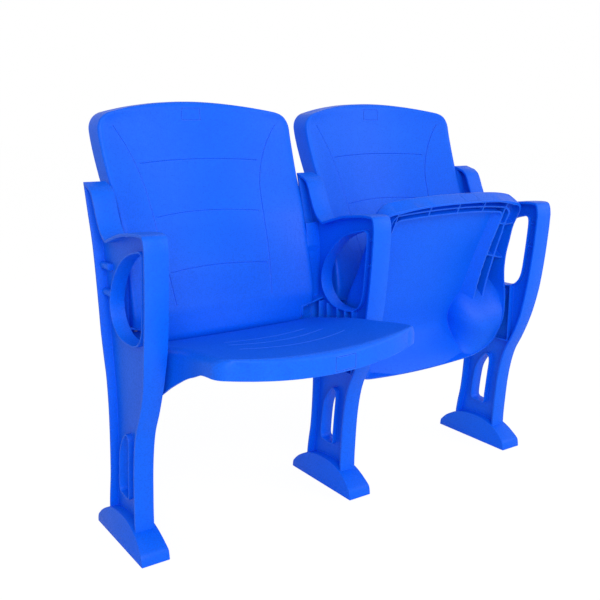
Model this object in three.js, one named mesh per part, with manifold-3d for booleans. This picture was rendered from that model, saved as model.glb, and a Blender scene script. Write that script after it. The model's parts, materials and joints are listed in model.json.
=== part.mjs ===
// A row of two tip-up stadium seats on three moulded stanchions.
// Millimetres, +Z up. X runs along the row, the sitter faces -Y, and Z = 0 is the floor.
// The origin is on the floor under the middle stanchion's foot. The left seat is down, the right one tipped up.
import * as THREE from "three";
import { mergeVertices } from "three/addons/utils/BufferGeometryUtils.js";
import Module from "manifold-3d";

const wasm = await Module();
wasm.setup();

// Sizes shared by the whole row.
const PITCH = 500; // from stanchion to stanchion
const FIT_GAP = 0.3; // between pieces that touch
const OVERRUN = 20; // how far a cutting solid runs past what it cuts

const STANCHION = {
  height: 719, // top of the ear
  reach: 283, // front of the arm rest to the back of the ear
  webThickness: 6,
  flangeThickness: 6,
  armFlangeWidth: 46,
  legFlangeWidth: 40,
  taperBottom: 345, // the flange narrows between these two heights
  taperTop: 430,
  rimWall: 3.5,
  rimDepth: 30, // of the collars round the hand hole and the leg slot
};

const FOOT = {
  length: 232,
  width: 59,
  crownWidth: 46, // at the top of the arched side
  crownHeight: 63,
  lipHeight: 18,
  coreWall: 7,
  coreHeight: 30, // the underside is cored out to this height
};

const HINGE = {
  pivotY: -35,
  pivotZ: 360,
  tipUpAngle: 58, // degrees from down to tipped up
  pinRadius: 8,
  hubRadius: 19,
  hubReach: 24.7,
  washerThickness: 2,
  washerRadius: 17.5,
  bushWall: 3.4,
  bushLength: 42,
  podHubWall: 9,
  podHubLength: 52,
};

const POCKET = {
  ribThickness: 3,
  ribReach: 17, // from the stanchion's mid-plane
  bottom: 289,
  top: 434,
  front: -98,
  back: 24,
};

const STOP = {
  innerRadius: 22,
  outerRadius: 38,
  lugReach: 12, // how near the lug comes to the stanchion's mid-plane
  rootLength: 26, // of the lug along the pod's hub
  lugStart: 240, // degrees, seat down, from +Y towards +Z
  lugEnd: 272,
  bufferAngle: 16, // degrees that a rubber buffer takes
  backingAngle: 9,
  bufferReach: 21,
};

const WING = {
  reach: 64, // from the stanchion's mid-plane to the inner end
  depth: 30,
  bottom: 408,
  apron: 28, // the rear wall runs on below the bottom
  height: 36, // at the web
  innerHeight: 20,
  wall: 4,
};

const BACK_SCREW = {
  lowerHeight: 510,
  upperHeight: 562,
  offset: 8.2, // from the stanchion's mid-plane
  bossRadius: 7,
  bossLength: 44,
  frontBossLowerHeight: 537,
  frontBossUpperHeight: 592,
  shankRadius: 2.5,
  shankLength: 40,
  headRadius: 5,
  headHeight: 4,
  washerRadius: 6.4,
  washerThickness: 1.2,
};

const LOWER_SCREW = {
  shankRadius: 2.5,
  shankLength: 15,
  headRadius: 4.5,
  headHeight: 3.5,
};

const BACK = {
  bottom: 403, // where the face meets the lip
  lip: 19, // the lower edge curls down and back behind the seat
  lipRadius: 24,
  height: 473, // from there to the crown of the top edge
  topWidth: 454,
  armWidth: 434, // between the arm rests
  sideDepth: 58,
  skin: 4,
  cornerRadius: 38,
  crown: 22, // rise of the top edge from its corners to the middle
  edgeRoll: 13,
  rollShare: 0.8,
  lean: 121, // how far the side edges lean back over the height
  frontSetback: 12, // foremost place of the side edges behind the foot's centre line
  hollow: 66, // deepest dish of the front face
  ribInset: 26,
  ribThickness: 3,
  ribSetback: 6, // rib edges stand inside the turned edge
  lugHeight: 26,
  lugThickness: 5,
};

const SEAT = {
  depth: 435, // front edge to the tail
  frontReach: 325, // front edge ahead of the pivot
  rise: 143, // front edge above the tail's end
  riseAbovePivot: 85,
  frontWidth: 438,
  waistWidth: 428,
  podWidth: 444,
  tailWidth: 300,
  skin: 4,
  sideRoll: 20,
  frontRoll: 12,
  frontBow: 25, // the middle of the front edge ahead of its ends
  tailBow: 10,
  cornerRadius: 35,
  tailCornerDepth: 70,
  dish: 15, // sides above the middle at the front
  tailDish: 4,
  skirt: 41,
  ribThickness: 3,
  ribDepth: 17, // along the front
  ribPodDepth: 42, // where the ribs run into the pods
  outerRibInset: 24,
  innerRibInset: 39,
  outerRibHalfWidth: 183,
  innerRibHalfWidth: 166,
  outerRibSpread: 15, // how much wider the ribs stand at the pods
  innerRibSpread: 2,
  ribCornerRadius: 16,
  crossRibPitch: 84,
};

const POD = {
  halfWidth: 92,
  halfLength: 126,
  halfDepth: 71,
  setback: 44, // centre behind the pivot
  lift: 5, // centre above the pivot
  wall: 4,
  window: 55, // radius of the opening in the outer side, round the hub
  ribThickness: 3,
};

const CURVE_STEPS = 4; // segments in a rounded corner
const ROUND_SIDES = 16;
const SCREW_SIDES = 8;

const PLASTIC = { color: 0x1f5df0, roughness: 0.45, metalness: 0 };
const STEEL = { color: 0xb8bcc0, roughness: 0.35, metalness: 1 };
const RUBBER = { color: 0x1a1a1c, roughness: 0.85, metalness: 0 };
const NYLON = { color: 0xe6e3da, roughness: 0.5, metalness: 0 };

// Side outline of a stanchion as shares of its reach and height, up the front, over the arm and ear, down the back.
const frontEdgeShares = [
  [-0.244, 0], [-0.244, 0.083], [-0.251, 0.146], [-0.279, 0.264], [-0.332, 0.355],
  [-0.417, 0.424], [-0.495, 0.501], [-0.555, 0.598], [-0.594, 0.702], [-0.618, 0.8], [-0.624, 0.84],
];
const armTopShares = [
  [-0.625, 0.86], [-0.612, 0.885], [-0.58, 0.896], [-0.49, 0.8965], [-0.36, 0.892],
  [-0.23, 0.885], [-0.11, 0.873], [0.005, 0.8595],
];
const earShares = [
  [0.03, 0.861], [0.075, 0.872], [0.117, 0.891], [0.163, 0.926], [0.198, 0.958],
  [0.228, 0.977], [0.27, 0.989],
];
const rearEdgeShares = [
  [0.372, 1], [0.318, 0.919], [0.269, 0.848], [0.24, 0.779], [0.212, 0.682], [0.196, 0.612],
  [0.18, 0.529], [0.159, 0.452], [0.152, 0.376], [0.163, 0.278], [0.187, 0.181], [0.219, 0.118],
  [0.237, 0.068], [0.237, 0],
];
const handHoleShares = [
  [-0.498, 0.835], [-0.496, 0.8], [-0.475, 0.715], [-0.452, 0.652], [-0.412, 0.621], [-0.336, 0.603],
  [-0.223, 0.5985], [-0.106, 0.603], [-0.021, 0.619], [0.037, 0.645], [0.058, 0.677], [0.042, 0.71],
  [-0.014, 0.75], [-0.095, 0.784], [-0.194, 0.8135], [-0.3, 0.832], [-0.424, 0.8445], [-0.477, 0.8465],
];
const legSlotShares = [
  [-0.085, 0.145], [-0.1, 0.18], [-0.12, 0.25], [-0.136, 0.305], [-0.124, 0.325], [-0.092, 0.328],
  [-0.035, 0.305], [0.014, 0.27], [0.038, 0.225], [0.055, 0.165], [0.045, 0.15], [0.01, 0.146],
];
// Arched side of the foot as shares of half its length and of its crown height.
const footArchShares = [
  [-1, 0], [-0.975, 0.28], [-0.9, 0.45], [-0.66, 0.76], [-0.36, 0.95], [-0.05, 1],
  [0.26, 0.96], [0.54, 0.83], [0.8, 0.57], [0.94, 0.33], [0.985, 0.2], [1, 0],
];

// Seat surface down the middle, front edge to tail, as shares of its depth from the front and of its rise.
const seatProfileShares = [
  [0, 1], [0.2, 0.935], [0.43, 0.854], [0.66, 0.762], [0.83, 0.691], [0.885, 0.632], [0.93, 0.455],
  [0.97, 0.18], [1, 0],
];
// Lower edge of the seat's side, as shares of its depth from the front and of its rise above the tail.
const seatRimShares = [
  [0, 0.816], [0.2, 0.794], [0.3, 0.686], [0.39, 0.577], [0.5, 0.393], [0.6, 0.187], [0.7, 0.025],
  [0.8, -0.03], [0.9, -0.05], [1, -0.03],
];
// Lean of the back's side edges, and dish of its face, at shares of its height.
const backLeanShares = [
  [0, 0.125], [0.06, 0.06], [0.125, 0.025], [0.3, 0.15], [0.48, 0.33], [0.545, 0.43], [0.675, 0.67], [0.82, 0.89], [0.91, 0.98], [1, 1.03],
];
const backHollowShares = [
  [0, 0.06], [0.125, 0.45], [0.28, 0.63], [0.51, 1], [0.74, 0.86], [0.91, 0.73], [1, 0.7],
];

const seatColumnShares = [-1, -0.98, -0.95, -0.9, -0.75, -0.4, 0, 0.4, 0.75, 0.9, 0.95, 0.98, 1];
const seatInnerColumnShares = [-1, -0.9, -0.5, 0, 0.5, 0.9, 1];
const seatInnerRowShares = [0, 0.06, 0.2, 0.45, 0.74, 0.83, 0.88, 0.92, 0.96, 1];
const seatRowShares = [0, 0.008, 0.025, 0.06, 0.11, 0.2, 0.32, 0.45, 0.6, 0.74, 0.83, 0.88, 0.92, 0.955, 0.98, 1];
const backColumnShares = [-1, -0.98, -0.94, -0.8, -0.5, -0.2, 0.2, 0.5, 0.8, 0.94, 0.98, 1];
const backInnerColumnShares = [-1, -0.8, -0.5, -0.2, 0.2, 0.5, 0.8, 1];
const backInnerRowShares = [0, 0.02, 0.05, 0.12, 0.22, 0.35, 0.48, 0.6, 0.7, 0.8, 0.88, 0.93, 1];
const backOutlineShares = [0, 0.15, 0.35, 0.55, 0.7, 0.8, 0.88, 0.93, 0.97, 1];
const backRowShares = [0, 0.02, 0.05, 0.12, 0.22, 0.35, 0.48, 0.6, 0.7, 0.8, 0.88, 0.93, 0.965, 0.988, 1];

// Axes that carry a drawing plane into the row: side views are drawn as (y, z), front views as (x, z).
const SIDE_VIEW = new THREE.Matrix4().makeBasis(
  new THREE.Vector3(0, 1, 0), new THREE.Vector3(0, 0, 1), new THREE.Vector3(1, 0, 0),
);
const FRONT_VIEW = new THREE.Matrix4().makeBasis(
  new THREE.Vector3(1, 0, 0), new THREE.Vector3(0, 0, 1), new THREE.Vector3(0, -1, 0),
);

function solidOf(geometry) {
  const bare = geometry.clone();
  bare.deleteAttribute("uv");
  bare.deleteAttribute("normal");
  const merged = mergeVertices(bare, 1e-4);
  return new wasm.Manifold(new wasm.Mesh({
    numProp: 3,
    vertProperties: new Float32Array(merged.attributes.position.array),
    triVerts: new Uint32Array(merged.index.array),
  }));
}

function geometryOf(solid) {
  const mesh = solid.getMesh();
  const geometry = new THREE.BufferGeometry();
  geometry.setAttribute("position", new THREE.BufferAttribute(new Float32Array(mesh.vertProperties), 3));
  geometry.setIndex(new THREE.BufferAttribute(new Uint32Array(mesh.triVerts), 1));
  geometry.computeVertexNormals();
  return geometry;
}

const unite = (solids) => solids.reduce((whole, solid) => whole.add(solid));

function meshOf(name, solid, finish) {
  const mesh = new THREE.Mesh(geometryOf(solid), new THREE.MeshStandardMaterial(finish));
  mesh.name = name;
  return mesh;
}

const radians = (degrees) => THREE.MathUtils.degToRad(degrees);
const lerp = THREE.MathUtils.lerp;

// Value at t of a smooth curve through a table of shares.
function curveAt(table, t) {
  const last = table.length - 1;
  const at = Math.min(Math.max(t, table[0][0]), table[last][0]);
  let i = 0;
  while (i < last - 1 && at > table[i + 1][0]) i += 1;
  const [x0, y0] = table[i];
  const [x1, y1] = table[i + 1];
  const before = table[Math.max(i - 1, 0)];
  const after = table[Math.min(i + 2, last)];
  const span = x1 - x0;
  const startSlope = (y1 - before[1]) / (x1 - before[0]) * span;
  const endSlope = (after[1] - y0) / (after[0] - x0) * span;
  const u = (at - x0) / span;
  return (2 * u ** 3 - 3 * u ** 2 + 1) * y0 + (u ** 3 - 2 * u ** 2 + u) * startSlope
    + (3 * u ** 2 - 2 * u ** 3) * y1 + (u ** 3 - u ** 2) * endSlope;
}

const scaled = (shares, width, height) => shares.map(([u, v]) => new THREE.Vector2(u * width, v * height));

// Points along a smooth curve through the given ones.
function smooth(points, steps) {
  const curve = new THREE.SplineCurve(points);
  return curve.getPoints((points.length - 1) * steps);
}

function dropRepeats(points) {
  return points.filter((p, i) => i === 0 || p.distanceTo(points[i - 1]) > FIT_GAP);
}

// A closed outline moved inwards (or outwards, for a negative distance) by a wall's thickness.
function inset(outline, distance) {
  const turn = THREE.ShapeUtils.area(outline) > 0 ? 1 : -1;
  const count = outline.length;
  return outline.map((point, i) => {
    const into = point.clone().sub(outline[(i + count - 1) % count]).normalize();
    const out = outline[(i + 1) % count].clone().sub(point).normalize();
    const bisector = into.clone().add(out).normalize();
    const stretch = Math.max(bisector.dot(out), 0.5);
    return new THREE.Vector2(
      point.x - turn * bisector.y * distance / stretch,
      point.y + turn * bisector.x * distance / stretch,
    );
  });
}

// A flat outline given thickness between two places along the axis that its view looks along.
function extrude(outline, view, from, to) {
  const geometry = new THREE.ExtrudeGeometry(new THREE.Shape(outline), { depth: to - from, bevelEnabled: false });
  geometry.translate(0, 0, from);
  geometry.applyMatrix4(view);
  return solidOf(geometry);
}

const sideSolid = (outline, from, to) => extrude(outline, SIDE_VIEW, from, to);
// Front views look along -Y, so their depths are turned round.
const frontSolid = (outline, from, to) => extrude(outline, FRONT_VIEW, -to, -from);

function rectangle(x0, y0, x1, y1) {
  return [[x0, y0], [x1, y0], [x1, y1], [x0, y1]].map(([x, y]) => new THREE.Vector2(x, y));
}

function box(x0, x1, y0, y1, z0, z1) {
  const geometry = new THREE.BoxGeometry(x1 - x0, y1 - y0, z1 - z0);
  geometry.translate((x0 + x1) / 2, (y0 + y1) / 2, (z0 + z1) / 2);
  return solidOf(geometry);
}

function cylinderAlongX(radius, from, to, y, z) {
  const geometry = new THREE.CylinderGeometry(radius, radius, to - from, ROUND_SIDES);
  geometry.rotateZ(-Math.PI / 2);
  geometry.translate((from + to) / 2, y, z);
  return solidOf(geometry);
}

function cylinderAlongY(radius, from, to, x, z, sides = ROUND_SIDES) {
  const geometry = new THREE.CylinderGeometry(radius, radius, to - from, sides);
  geometry.translate(x, (from + to) / 2, z);
  return solidOf(geometry);
}

function cylinderAlongZ(radius, from, to, x, y, sides = ROUND_SIDES) {
  const geometry = new THREE.CylinderGeometry(radius, radius, to - from, sides);
  geometry.rotateX(Math.PI / 2);
  geometry.translate(x, y, (from + to) / 2);
  return solidOf(geometry);
}

// A closed solid between two surfaces that share one grid. The upper one faces the way columns turn to rows.
function gridSolid(columns, rows, upper, lower) {
  const wide = columns.length;
  const positions = [];
  for (const surface of [upper, lower])
    for (const b of rows)
      for (const a of columns) positions.push(...surface(a, b));
  const lowerStart = wide * rows.length;
  const at = (i, j) => j * wide + i;
  const index = [];
  for (let j = 0; j < rows.length - 1; j += 1)
    for (let i = 0; i < wide - 1; i += 1) {
      const corners = [at(i, j), at(i + 1, j), at(i + 1, j + 1), at(i, j + 1)];
      const [p, q, r, s] = corners;
      index.push(p, q, r, p, r, s);
      const [lp, lq, lr, ls] = corners.map((c) => c + lowerStart);
      index.push(lp, lr, lq, lp, ls, lr);
    }
  const edge = [];
  for (let i = 0; i < wide; i += 1) edge.push(at(i, 0));
  for (let j = 1; j < rows.length; j += 1) edge.push(at(wide - 1, j));
  for (let i = wide - 2; i >= 0; i -= 1) edge.push(at(i, rows.length - 1));
  for (let j = rows.length - 2; j > 0; j -= 1) edge.push(at(0, j));
  edge.forEach((p, k) => {
    const q = edge[(k + 1) % edge.length];
    index.push(p, p + lowerStart, q + lowerStart, p, q + lowerStart, q);
  });
  const geometry = new THREE.BufferGeometry();
  geometry.setAttribute("position", new THREE.Float32BufferAttribute(positions, 3));
  geometry.setIndex(index);
  return solidOf(geometry);
}

// How far an edge rolls over at a distance in from it.
function rollDrop(distance, radius) {
  const inside = Math.min(Math.max(distance, 0), radius);
  return radius - Math.sqrt(radius ** 2 - (radius - inside) ** 2);
}

// The outline parts of a stanchion, worked out once.
const frontEdge = scaled(frontEdgeShares, STANCHION.reach, STANCHION.height);
const armTop = smooth(scaled(armTopShares, STANCHION.reach, STANCHION.height), 2);
const earEdge = smooth(scaled(earShares, STANCHION.reach, STANCHION.height), 2);
const rearEdge = scaled(rearEdgeShares, STANCHION.reach, STANCHION.height);
const stanchionOutline = dropRepeats([...frontEdge, ...armTop, ...earEdge, ...rearEdge]);
const handHole = smooth(
  [...scaled(handHoleShares, STANCHION.reach, STANCHION.height),
    scaled(handHoleShares, STANCHION.reach, STANCHION.height)[0]], 2,
).slice(0, -1);
const legSlot = scaled(legSlotShares, STANCHION.reach, STANCHION.height);

// Where an edge of the stanchion stands at a height.
function edgeY(edge, z) {
  const rising = edge[0].y < edge[edge.length - 1].y ? edge : [...edge].reverse();
  const i = Math.max(1, rising.findIndex((p) => p.y >= z));
  const low = rising[i - 1];
  const high = rising[i];
  return lerp(low.x, high.x, (z - low.y) / (high.y - low.y));
}

// The arm's and leg's flange narrows from its wide top to the leg.
function flangeEnvelope() {
  const arm = STANCHION.armFlangeWidth / 2;
  const leg = STANCHION.legFlangeWidth / 2;
  const half = [
    [arm, STANCHION.height + OVERRUN], [arm, STANCHION.taperTop], [leg, STANCHION.taperBottom], [leg, 0],
  ];
  const outline = [...half, ...half.map(([x, z]) => [-x, z]).reverse()].map(([x, z]) => new THREE.Vector2(x, z));
  return frontSolid(outline, -STANCHION.reach, STANCHION.reach);
}

function collar(hole) {
  return sideSolid(inset(hole, -STANCHION.rimWall), -STANCHION.rimDepth / 2, STANCHION.rimDepth / 2);
}

function foot() {
  const side = scaled(footArchShares, FOOT.length / 2, FOOT.crownHeight);
  const block = sideSolid(side, -FOOT.width / 2, FOOT.width / 2);
  const half = [[FOOT.width / 2, 0], [FOOT.width / 2, FOOT.lipHeight], [FOOT.crownWidth / 2, FOOT.crownHeight]];
  const drafted = [...half, ...half.map(([x, z]) => [-x, z]).reverse()].map(([x, z]) => new THREE.Vector2(x, z));
  return block.intersect(frontSolid(drafted, -FOOT.length, FOOT.length));
}

// Two cores under the foot leave a wall all round and a rib across the middle.
function footCores() {
  const halfWidth = FOOT.width / 2 - FOOT.coreWall;
  const near = FOOT.coreWall / 2;
  const far = FOOT.length / 2 - 2 * FOOT.coreWall;
  return unite([-1, 1].map((side) => {
    const [from, to] = [side * near, side * far].sort((p, q) => p - q);
    return box(-halfWidth, halfWidth, from, to, -OVERRUN, FOOT.coreHeight);
  }));
}

// Screw bosses on the web: two behind, from the rear flange, and two short ones in front of the hand hole.
function screwBosses() {
  const bosses = [];
  const { offset, bossRadius } = BACK_SCREW;
  for (const side of [-1, 1]) {
    for (const z of [BACK_SCREW.lowerHeight, BACK_SCREW.upperHeight]) {
      const rear = edgeY(rearEdge, z) - STANCHION.flangeThickness / 2;
      bosses.push(cylinderAlongY(bossRadius, rear - BACK_SCREW.bossLength, rear, side * offset, z, SCREW_SIDES));
    }
    for (const z of [BACK_SCREW.frontBossLowerHeight, BACK_SCREW.frontBossUpperHeight]) {
      const front = edgeY(frontEdge, z) + STANCHION.flangeThickness / 2;
      const back = edgeY(handHole.slice(0, 9), z);
      bosses.push(cylinderAlongY(bossRadius / 2, front, back, side * offset / 2, z, SCREW_SIDES));
    }
  }
  return unite(bosses);
}

function backScrewBores(side) {
  const radius = BACK_SCREW.shankRadius + FIT_GAP;
  return unite([BACK_SCREW.lowerHeight, BACK_SCREW.upperHeight].map((z) => {
    const rear = edgeY(rearEdge, z);
    const tip = lugRear(z) - BACK_SCREW.shankLength - FIT_GAP;
    return cylinderAlongY(radius, tip, rear + OVERRUN, side * BACK_SCREW.offset, z, SCREW_SIDES);
  }));
}

// A wedge of a ring round the pivot, drawn in the side view, with angles from +Y towards +Z.
function ringWedge(inner, outer, startAngle, endAngle) {
  const points = [];
  for (let i = 0; i <= CURVE_STEPS; i += 1) {
    const angle = radians(lerp(startAngle, endAngle, i / CURVE_STEPS));
    points.push(new THREE.Vector2(outer * Math.cos(angle), outer * Math.sin(angle)));
  }
  for (let i = CURVE_STEPS; i >= 0; i -= 1) {
    const angle = radians(lerp(startAngle, endAngle, i / CURVE_STEPS));
    points.push(new THREE.Vector2(inner * Math.cos(angle), inner * Math.sin(angle)));
  }
  return points;
}

// Extent along X on one side of a stanchion's mid-plane.
const reachOn = (side, near, far) => [side * near, side * far].sort((p, q) => p - q);

// Angle that a gap takes at the middle of the stop's ring.
const gapAngle = THREE.MathUtils.radToDeg(FIT_GAP / ((STOP.innerRadius + STOP.outerRadius) / 2));
const bufferStart = STOP.lugEnd + gapAngle;
const bufferEnd = bufferStart + STOP.bufferAngle;
const upStopEnd = STOP.lugStart - HINGE.tipUpAngle - gapAngle;

// Walls round the pivot's hub: a frame with upright ribs above, the backing of the buffer and the tipped-up stop.
function hingePocket(side) {
  const [from, to] = reachOn(side, 0, POCKET.ribReach);
  const half = POCKET.ribThickness / 2;
  const wall = (y0, y1, z0, z1) => box(from, to, y0, y1, z0, z1);
  const { front, back, bottom, top } = POCKET;
  const clearTop = HINGE.pivotZ + STOP.outerRadius + POCKET.ribThickness;
  const pieces = [
    wall(front, back, bottom - half, bottom + half),
    wall(front - half, front + half, bottom - half, top),
    wall(back - half, back + half, bottom - half, top),
  ];
  const upright = (y) => wall(y - half, y + half, clearTop, top);
  for (const share of uprightShares) pieces.push(upright(lerp(front, back, share)));
  const wedges = [
    [bufferEnd + gapAngle, bufferEnd + gapAngle + STOP.backingAngle],
    [upStopEnd - STOP.backingAngle, upStopEnd],
  ];
  for (const [start, end] of wedges) {
    const wedge = sideSolid(
      ringWedge(HINGE.hubRadius - half, STOP.outerRadius, start, end),
      ...reachOn(side, 0, STOP.bufferReach),
    );
    pieces.push(wedge.translate([0, HINGE.pivotY, HINGE.pivotZ]));
  }
  pieces.push(cylinderAlongX(HINGE.hubRadius, ...reachOn(side, 0, HINGE.hubReach), HINGE.pivotY, HINGE.pivotZ));
  return unite(pieces);
}
const uprightShares = [0.22, 0.45, 0.75];

// Rear faces of a wing and of the flange beside it line up.
const wingRear = () => edgeY(rearEdge, WING.bottom);

// Open-fronted box that carries the back's lower corner. Its top falls away from the web.
function wing(side) {
  const { reach, bottom, height, innerHeight, wall, depth } = WING;
  const outline = [
    [0, bottom], [reach, bottom], [reach, bottom + innerHeight], [0, bottom + height],
  ].map(([x, z]) => new THREE.Vector2(side * x, z));
  const near = STANCHION.webThickness / 2;
  const fall = (height - innerHeight) / reach;
  const hollow = [
    [near, bottom + wall], [reach - wall, bottom + wall],
    [reach - wall, bottom + innerHeight - wall + fall * wall], [near, bottom + height - wall - fall * near],
  ].map(([x, z]) => new THREE.Vector2(side * x, z));
  const rear = wingRear();
  const shell = frontSolid(outline, rear - depth, rear);
  const apron = box(...reachOn(side, 0, reach), rear - wall, rear, bottom - WING.apron, bottom + wall);
  return shell.subtract(frontSolid(hollow, rear - depth - OVERRUN, rear - wall)).add(apron);
}

// Height of a wing's top at a distance from the stanchion's mid-plane.
const wingTop = (x) => WING.bottom + WING.height - (WING.height - WING.innerHeight) * x / WING.reach;

const lowerScrewX = (WING.reach + STANCHION.armFlangeWidth / 2) / 2;
const lowerScrewY = () => wingRear() - WING.depth / 2;

function lowerScrewBore(side) {
  const z = wingTop(lowerScrewX);
  const radius = LOWER_SCREW.shankRadius + FIT_GAP;
  return cylinderAlongZ(radius, z - 2 * WING.wall, z + OVERRUN, side * lowerScrewX, lowerScrewY(), SCREW_SIDES);
}

function pinBore(sides) {
  const radius = HINGE.pinRadius + FIT_GAP;
  const far = HINGE.hubReach + OVERRUN;
  const from = sides.includes(-1) ? -far : 0;
  const to = sides.includes(1) ? far : 0;
  return cylinderAlongX(radius, from, to, HINGE.pivotY, HINGE.pivotZ);
}

// One moulding: web and flange, collars, foot, screw bosses, and on each side that carries a seat a pocket and wing.
function stanchion(name, x, sides) {
  const halfWeb = STANCHION.webThickness / 2;
  const reach = STANCHION.armFlangeWidth;
  const ring = sideSolid(stanchionOutline, -reach, reach)
    .subtract(sideSolid(inset(stanchionOutline, STANCHION.flangeThickness), -reach - OVERRUN, reach + OVERRUN))
    .intersect(flangeEnvelope());
  let solid = unite([
    sideSolid(stanchionOutline, -halfWeb, halfWeb), ring, foot(), collar(handHole), collar(legSlot), screwBosses(),
    ...sides.map(hingePocket), ...sides.map(wing),
  ]);
  solid = solid
    .subtract(sideSolid(handHole, -reach, reach))
    .subtract(sideSolid(legSlot, -reach, reach))
    .subtract(footCores())
    .subtract(pinBore(sides));
  for (const side of sides) solid = solid.subtract(backScrewBores(side)).subtract(lowerScrewBore(side));
  const mesh = meshOf(name, solid, PLASTIC);
  mesh.position.x = x;
  return mesh;
}

// Sizes of the back that its neighbours share.
const backShare = (z) => (z - BACK.bottom) / BACK.height;
const backEdgeY = (z) => BACK.frontSetback + BACK.lean * curveAt(backLeanShares, backShare(z));

// The rear edge of a stanchion and a back's lug behind it.
const lugRear = (z) => edgeY(rearEdge, z) + 2 * FIT_GAP + BACK.lugThickness;

// Half width of the back at a height: narrow between the arms, wide above, with a round upper corner.
function backHalfWidth(z) {
  const straight = BACK.bottom + BACK.height - BACK.crown - BACK.cornerRadius;
  const widen = THREE.MathUtils.smoothstep(z, STANCHION.height * 0.85, straight);
  const half = lerp(BACK.armWidth, BACK.topWidth, widen) / 2;
  const over = Math.min(Math.max(z - straight, 0), BACK.cornerRadius);
  return half - BACK.cornerRadius + Math.sqrt(BACK.cornerRadius ** 2 - over ** 2);
}

// The back's outline and front face, both moved inwards by a wall for its hollow side.
function backPoint(a, b, wall, depth) {
  const top = BACK.bottom + BACK.height - BACK.crown;
  const low = BACK.bottom - BACK.lip;
  const rise = lerp(low, top, b);
  const half = backHalfWidth(rise);
  const crown = BACK.crown * (1 - a ** 2) * THREE.MathUtils.smoothstep(b, 0.5, 1);
  const z = rise + crown;
  const zInset = z + wall * (1 - 2 * b);
  const x = a * (half - wall);
  const share = a ** 2;
  const hollow = BACK.hollow * curveAt(backHollowShares, backShare(rise));
  const side = (1 - Math.abs(a)) * half;
  const roll = rollDrop(side, BACK.edgeRoll) + rollDrop(top - rise, BACK.edgeRoll) + rollDrop(rise - low, BACK.lipRadius);
  const front = backEdgeY(rise) + hollow * (1 - share) + roll * BACK.rollShare;
  const rear = backEdgeY(rise) + BACK.sideDepth + hollow * 0.7 * (1 - share);
  return [x, lerp(front + wall, rear, depth), zInset];
}

function backShell() {
  const outer = gridSolid(
    backColumnShares, backRowShares, (a, b) => backPoint(a, b, 0, 0), (a, b) => backPoint(a, b, 0, 1),
  );
  const core = gridSolid(
    backInnerColumnShares, backInnerRowShares, (a, b) => backPoint(a, b, BACK.skin, 0),
    (a, b) => {
      const [x, y, z] = backPoint(a, b, BACK.skin, 1);
      return [x, y + OVERRUN, z];
    },
  );
  return { outer, core };
}

// Plan outline of the back, seen from the front, moved in from its edge.
function backOutline(distance) {
  const right = backOutlineShares.map((b) => {
    const [x, , z] = backPoint(1, b, 0, 0);
    return new THREE.Vector2(x, z);
  });
  const top = backColumnShares.slice(1, -1).reverse().map((a) => {
    const [x, , z] = backPoint(a, 1, 0, 0);
    return new THREE.Vector2(x, z);
  });
  const left = right.map((p) => new THREE.Vector2(-p.x, p.y)).reverse();
  return inset(dropRepeats([...right, ...top, ...left]), distance);
}

// A rib round the back, inside its turned edge, with short ribs that tie it to the edge.
function backRibs(outer) {
  const deepest = STANCHION.reach;
  const ring = frontSolid(backOutline(BACK.ribInset), -deepest, deepest)
    .subtract(frontSolid(backOutline(BACK.ribInset + BACK.ribThickness), -deepest - OVERRUN, deepest + OVERRUN));
  const ties = [];
  const half = BACK.ribThickness / 2;
  for (const share of backTieShares) {
    const z = BACK.bottom + BACK.height * share;
    for (const side of [-1, 1]) {
      const [from, to] = reachOn(side, BACK.armWidth / 2 - BACK.ribInset - half, BACK.topWidth / 2);
      ties.push(box(from, to, -STANCHION.reach, STANCHION.reach, z - half, z + half));
    }
  }
  const crossed = unite([ring, ...ties]);
  return crossed.intersect(outer.translate([0, -BACK.ribSetback, 0])).intersect(outer);
}
const backTieShares = [0.3, 0.5, 0.7];

// Lugs beside the back that lie behind the stanchion's rear flange and take the upper screws.
function backLugs() {
  const lugs = [];
  const halfHeight = BACK.lugHeight / 2;
  for (const z of [BACK_SCREW.lowerHeight, BACK_SCREW.upperHeight]) {
    const rear = lugRear(z);
    const profile = [
      [edgeY(rearEdge, z - halfHeight) + FIT_GAP, z - halfHeight], [rear, z - halfHeight], [rear, z + halfHeight],
      [edgeY(rearEdge, z + halfHeight) + FIT_GAP, z + halfHeight], [edgeY(rearEdge, z) + FIT_GAP, z],
    ].map(([y, height]) => new THREE.Vector2(y, height));
    for (const side of [-1, 1]) {
      const [from, to] = reachOn(side, BACK.armWidth / 2 - BACK.skin, PITCH / 2 - STANCHION.webThickness / 2);
      lugs.push(sideSolid(profile, from, to));
    }
  }
  return unite(lugs);
}

function backScrewHoles() {
  const radius = BACK_SCREW.shankRadius + FIT_GAP;
  const holes = [];
  for (const z of [BACK_SCREW.lowerHeight, BACK_SCREW.upperHeight])
    for (const side of [-1, 1]) {
      const x = side * (PITCH / 2 - BACK_SCREW.offset);
      holes.push(cylinderAlongY(radius, 0, lugRear(z) + OVERRUN, x, z, SCREW_SIDES));
    }
  return unite(holes);
}

// Lower corners are cut away over the wings, and a block in each takes the lower screw.
function backCornerCut(side) {
  const inner = PITCH / 2 - WING.reach - FIT_GAP;
  const outer = PITCH / 2;
  const top = (x) => wingTop(PITCH / 2 - x) + FIT_GAP;
  const outline = [
    [inner, BACK.bottom - OVERRUN], [outer, BACK.bottom - OVERRUN], [outer, top(outer)], [inner, top(inner)],
  ].map(([x, z]) => new THREE.Vector2(side * x, z));
  return frontSolid(outline, -STANCHION.reach, STANCHION.reach);
}

function backCornerBlock(side) {
  const inner = PITCH / 2 - WING.reach;
  const outer = BACK.armWidth / 2;
  const low = wingTop(WING.reach) + FIT_GAP;
  const rear = wingRear();
  const [from, to] = reachOn(side, inner, outer);
  return box(from, to, rear - WING.depth, rear, low, low + LOWER_SCREW.shankLength + BACK.skin);
}

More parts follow.
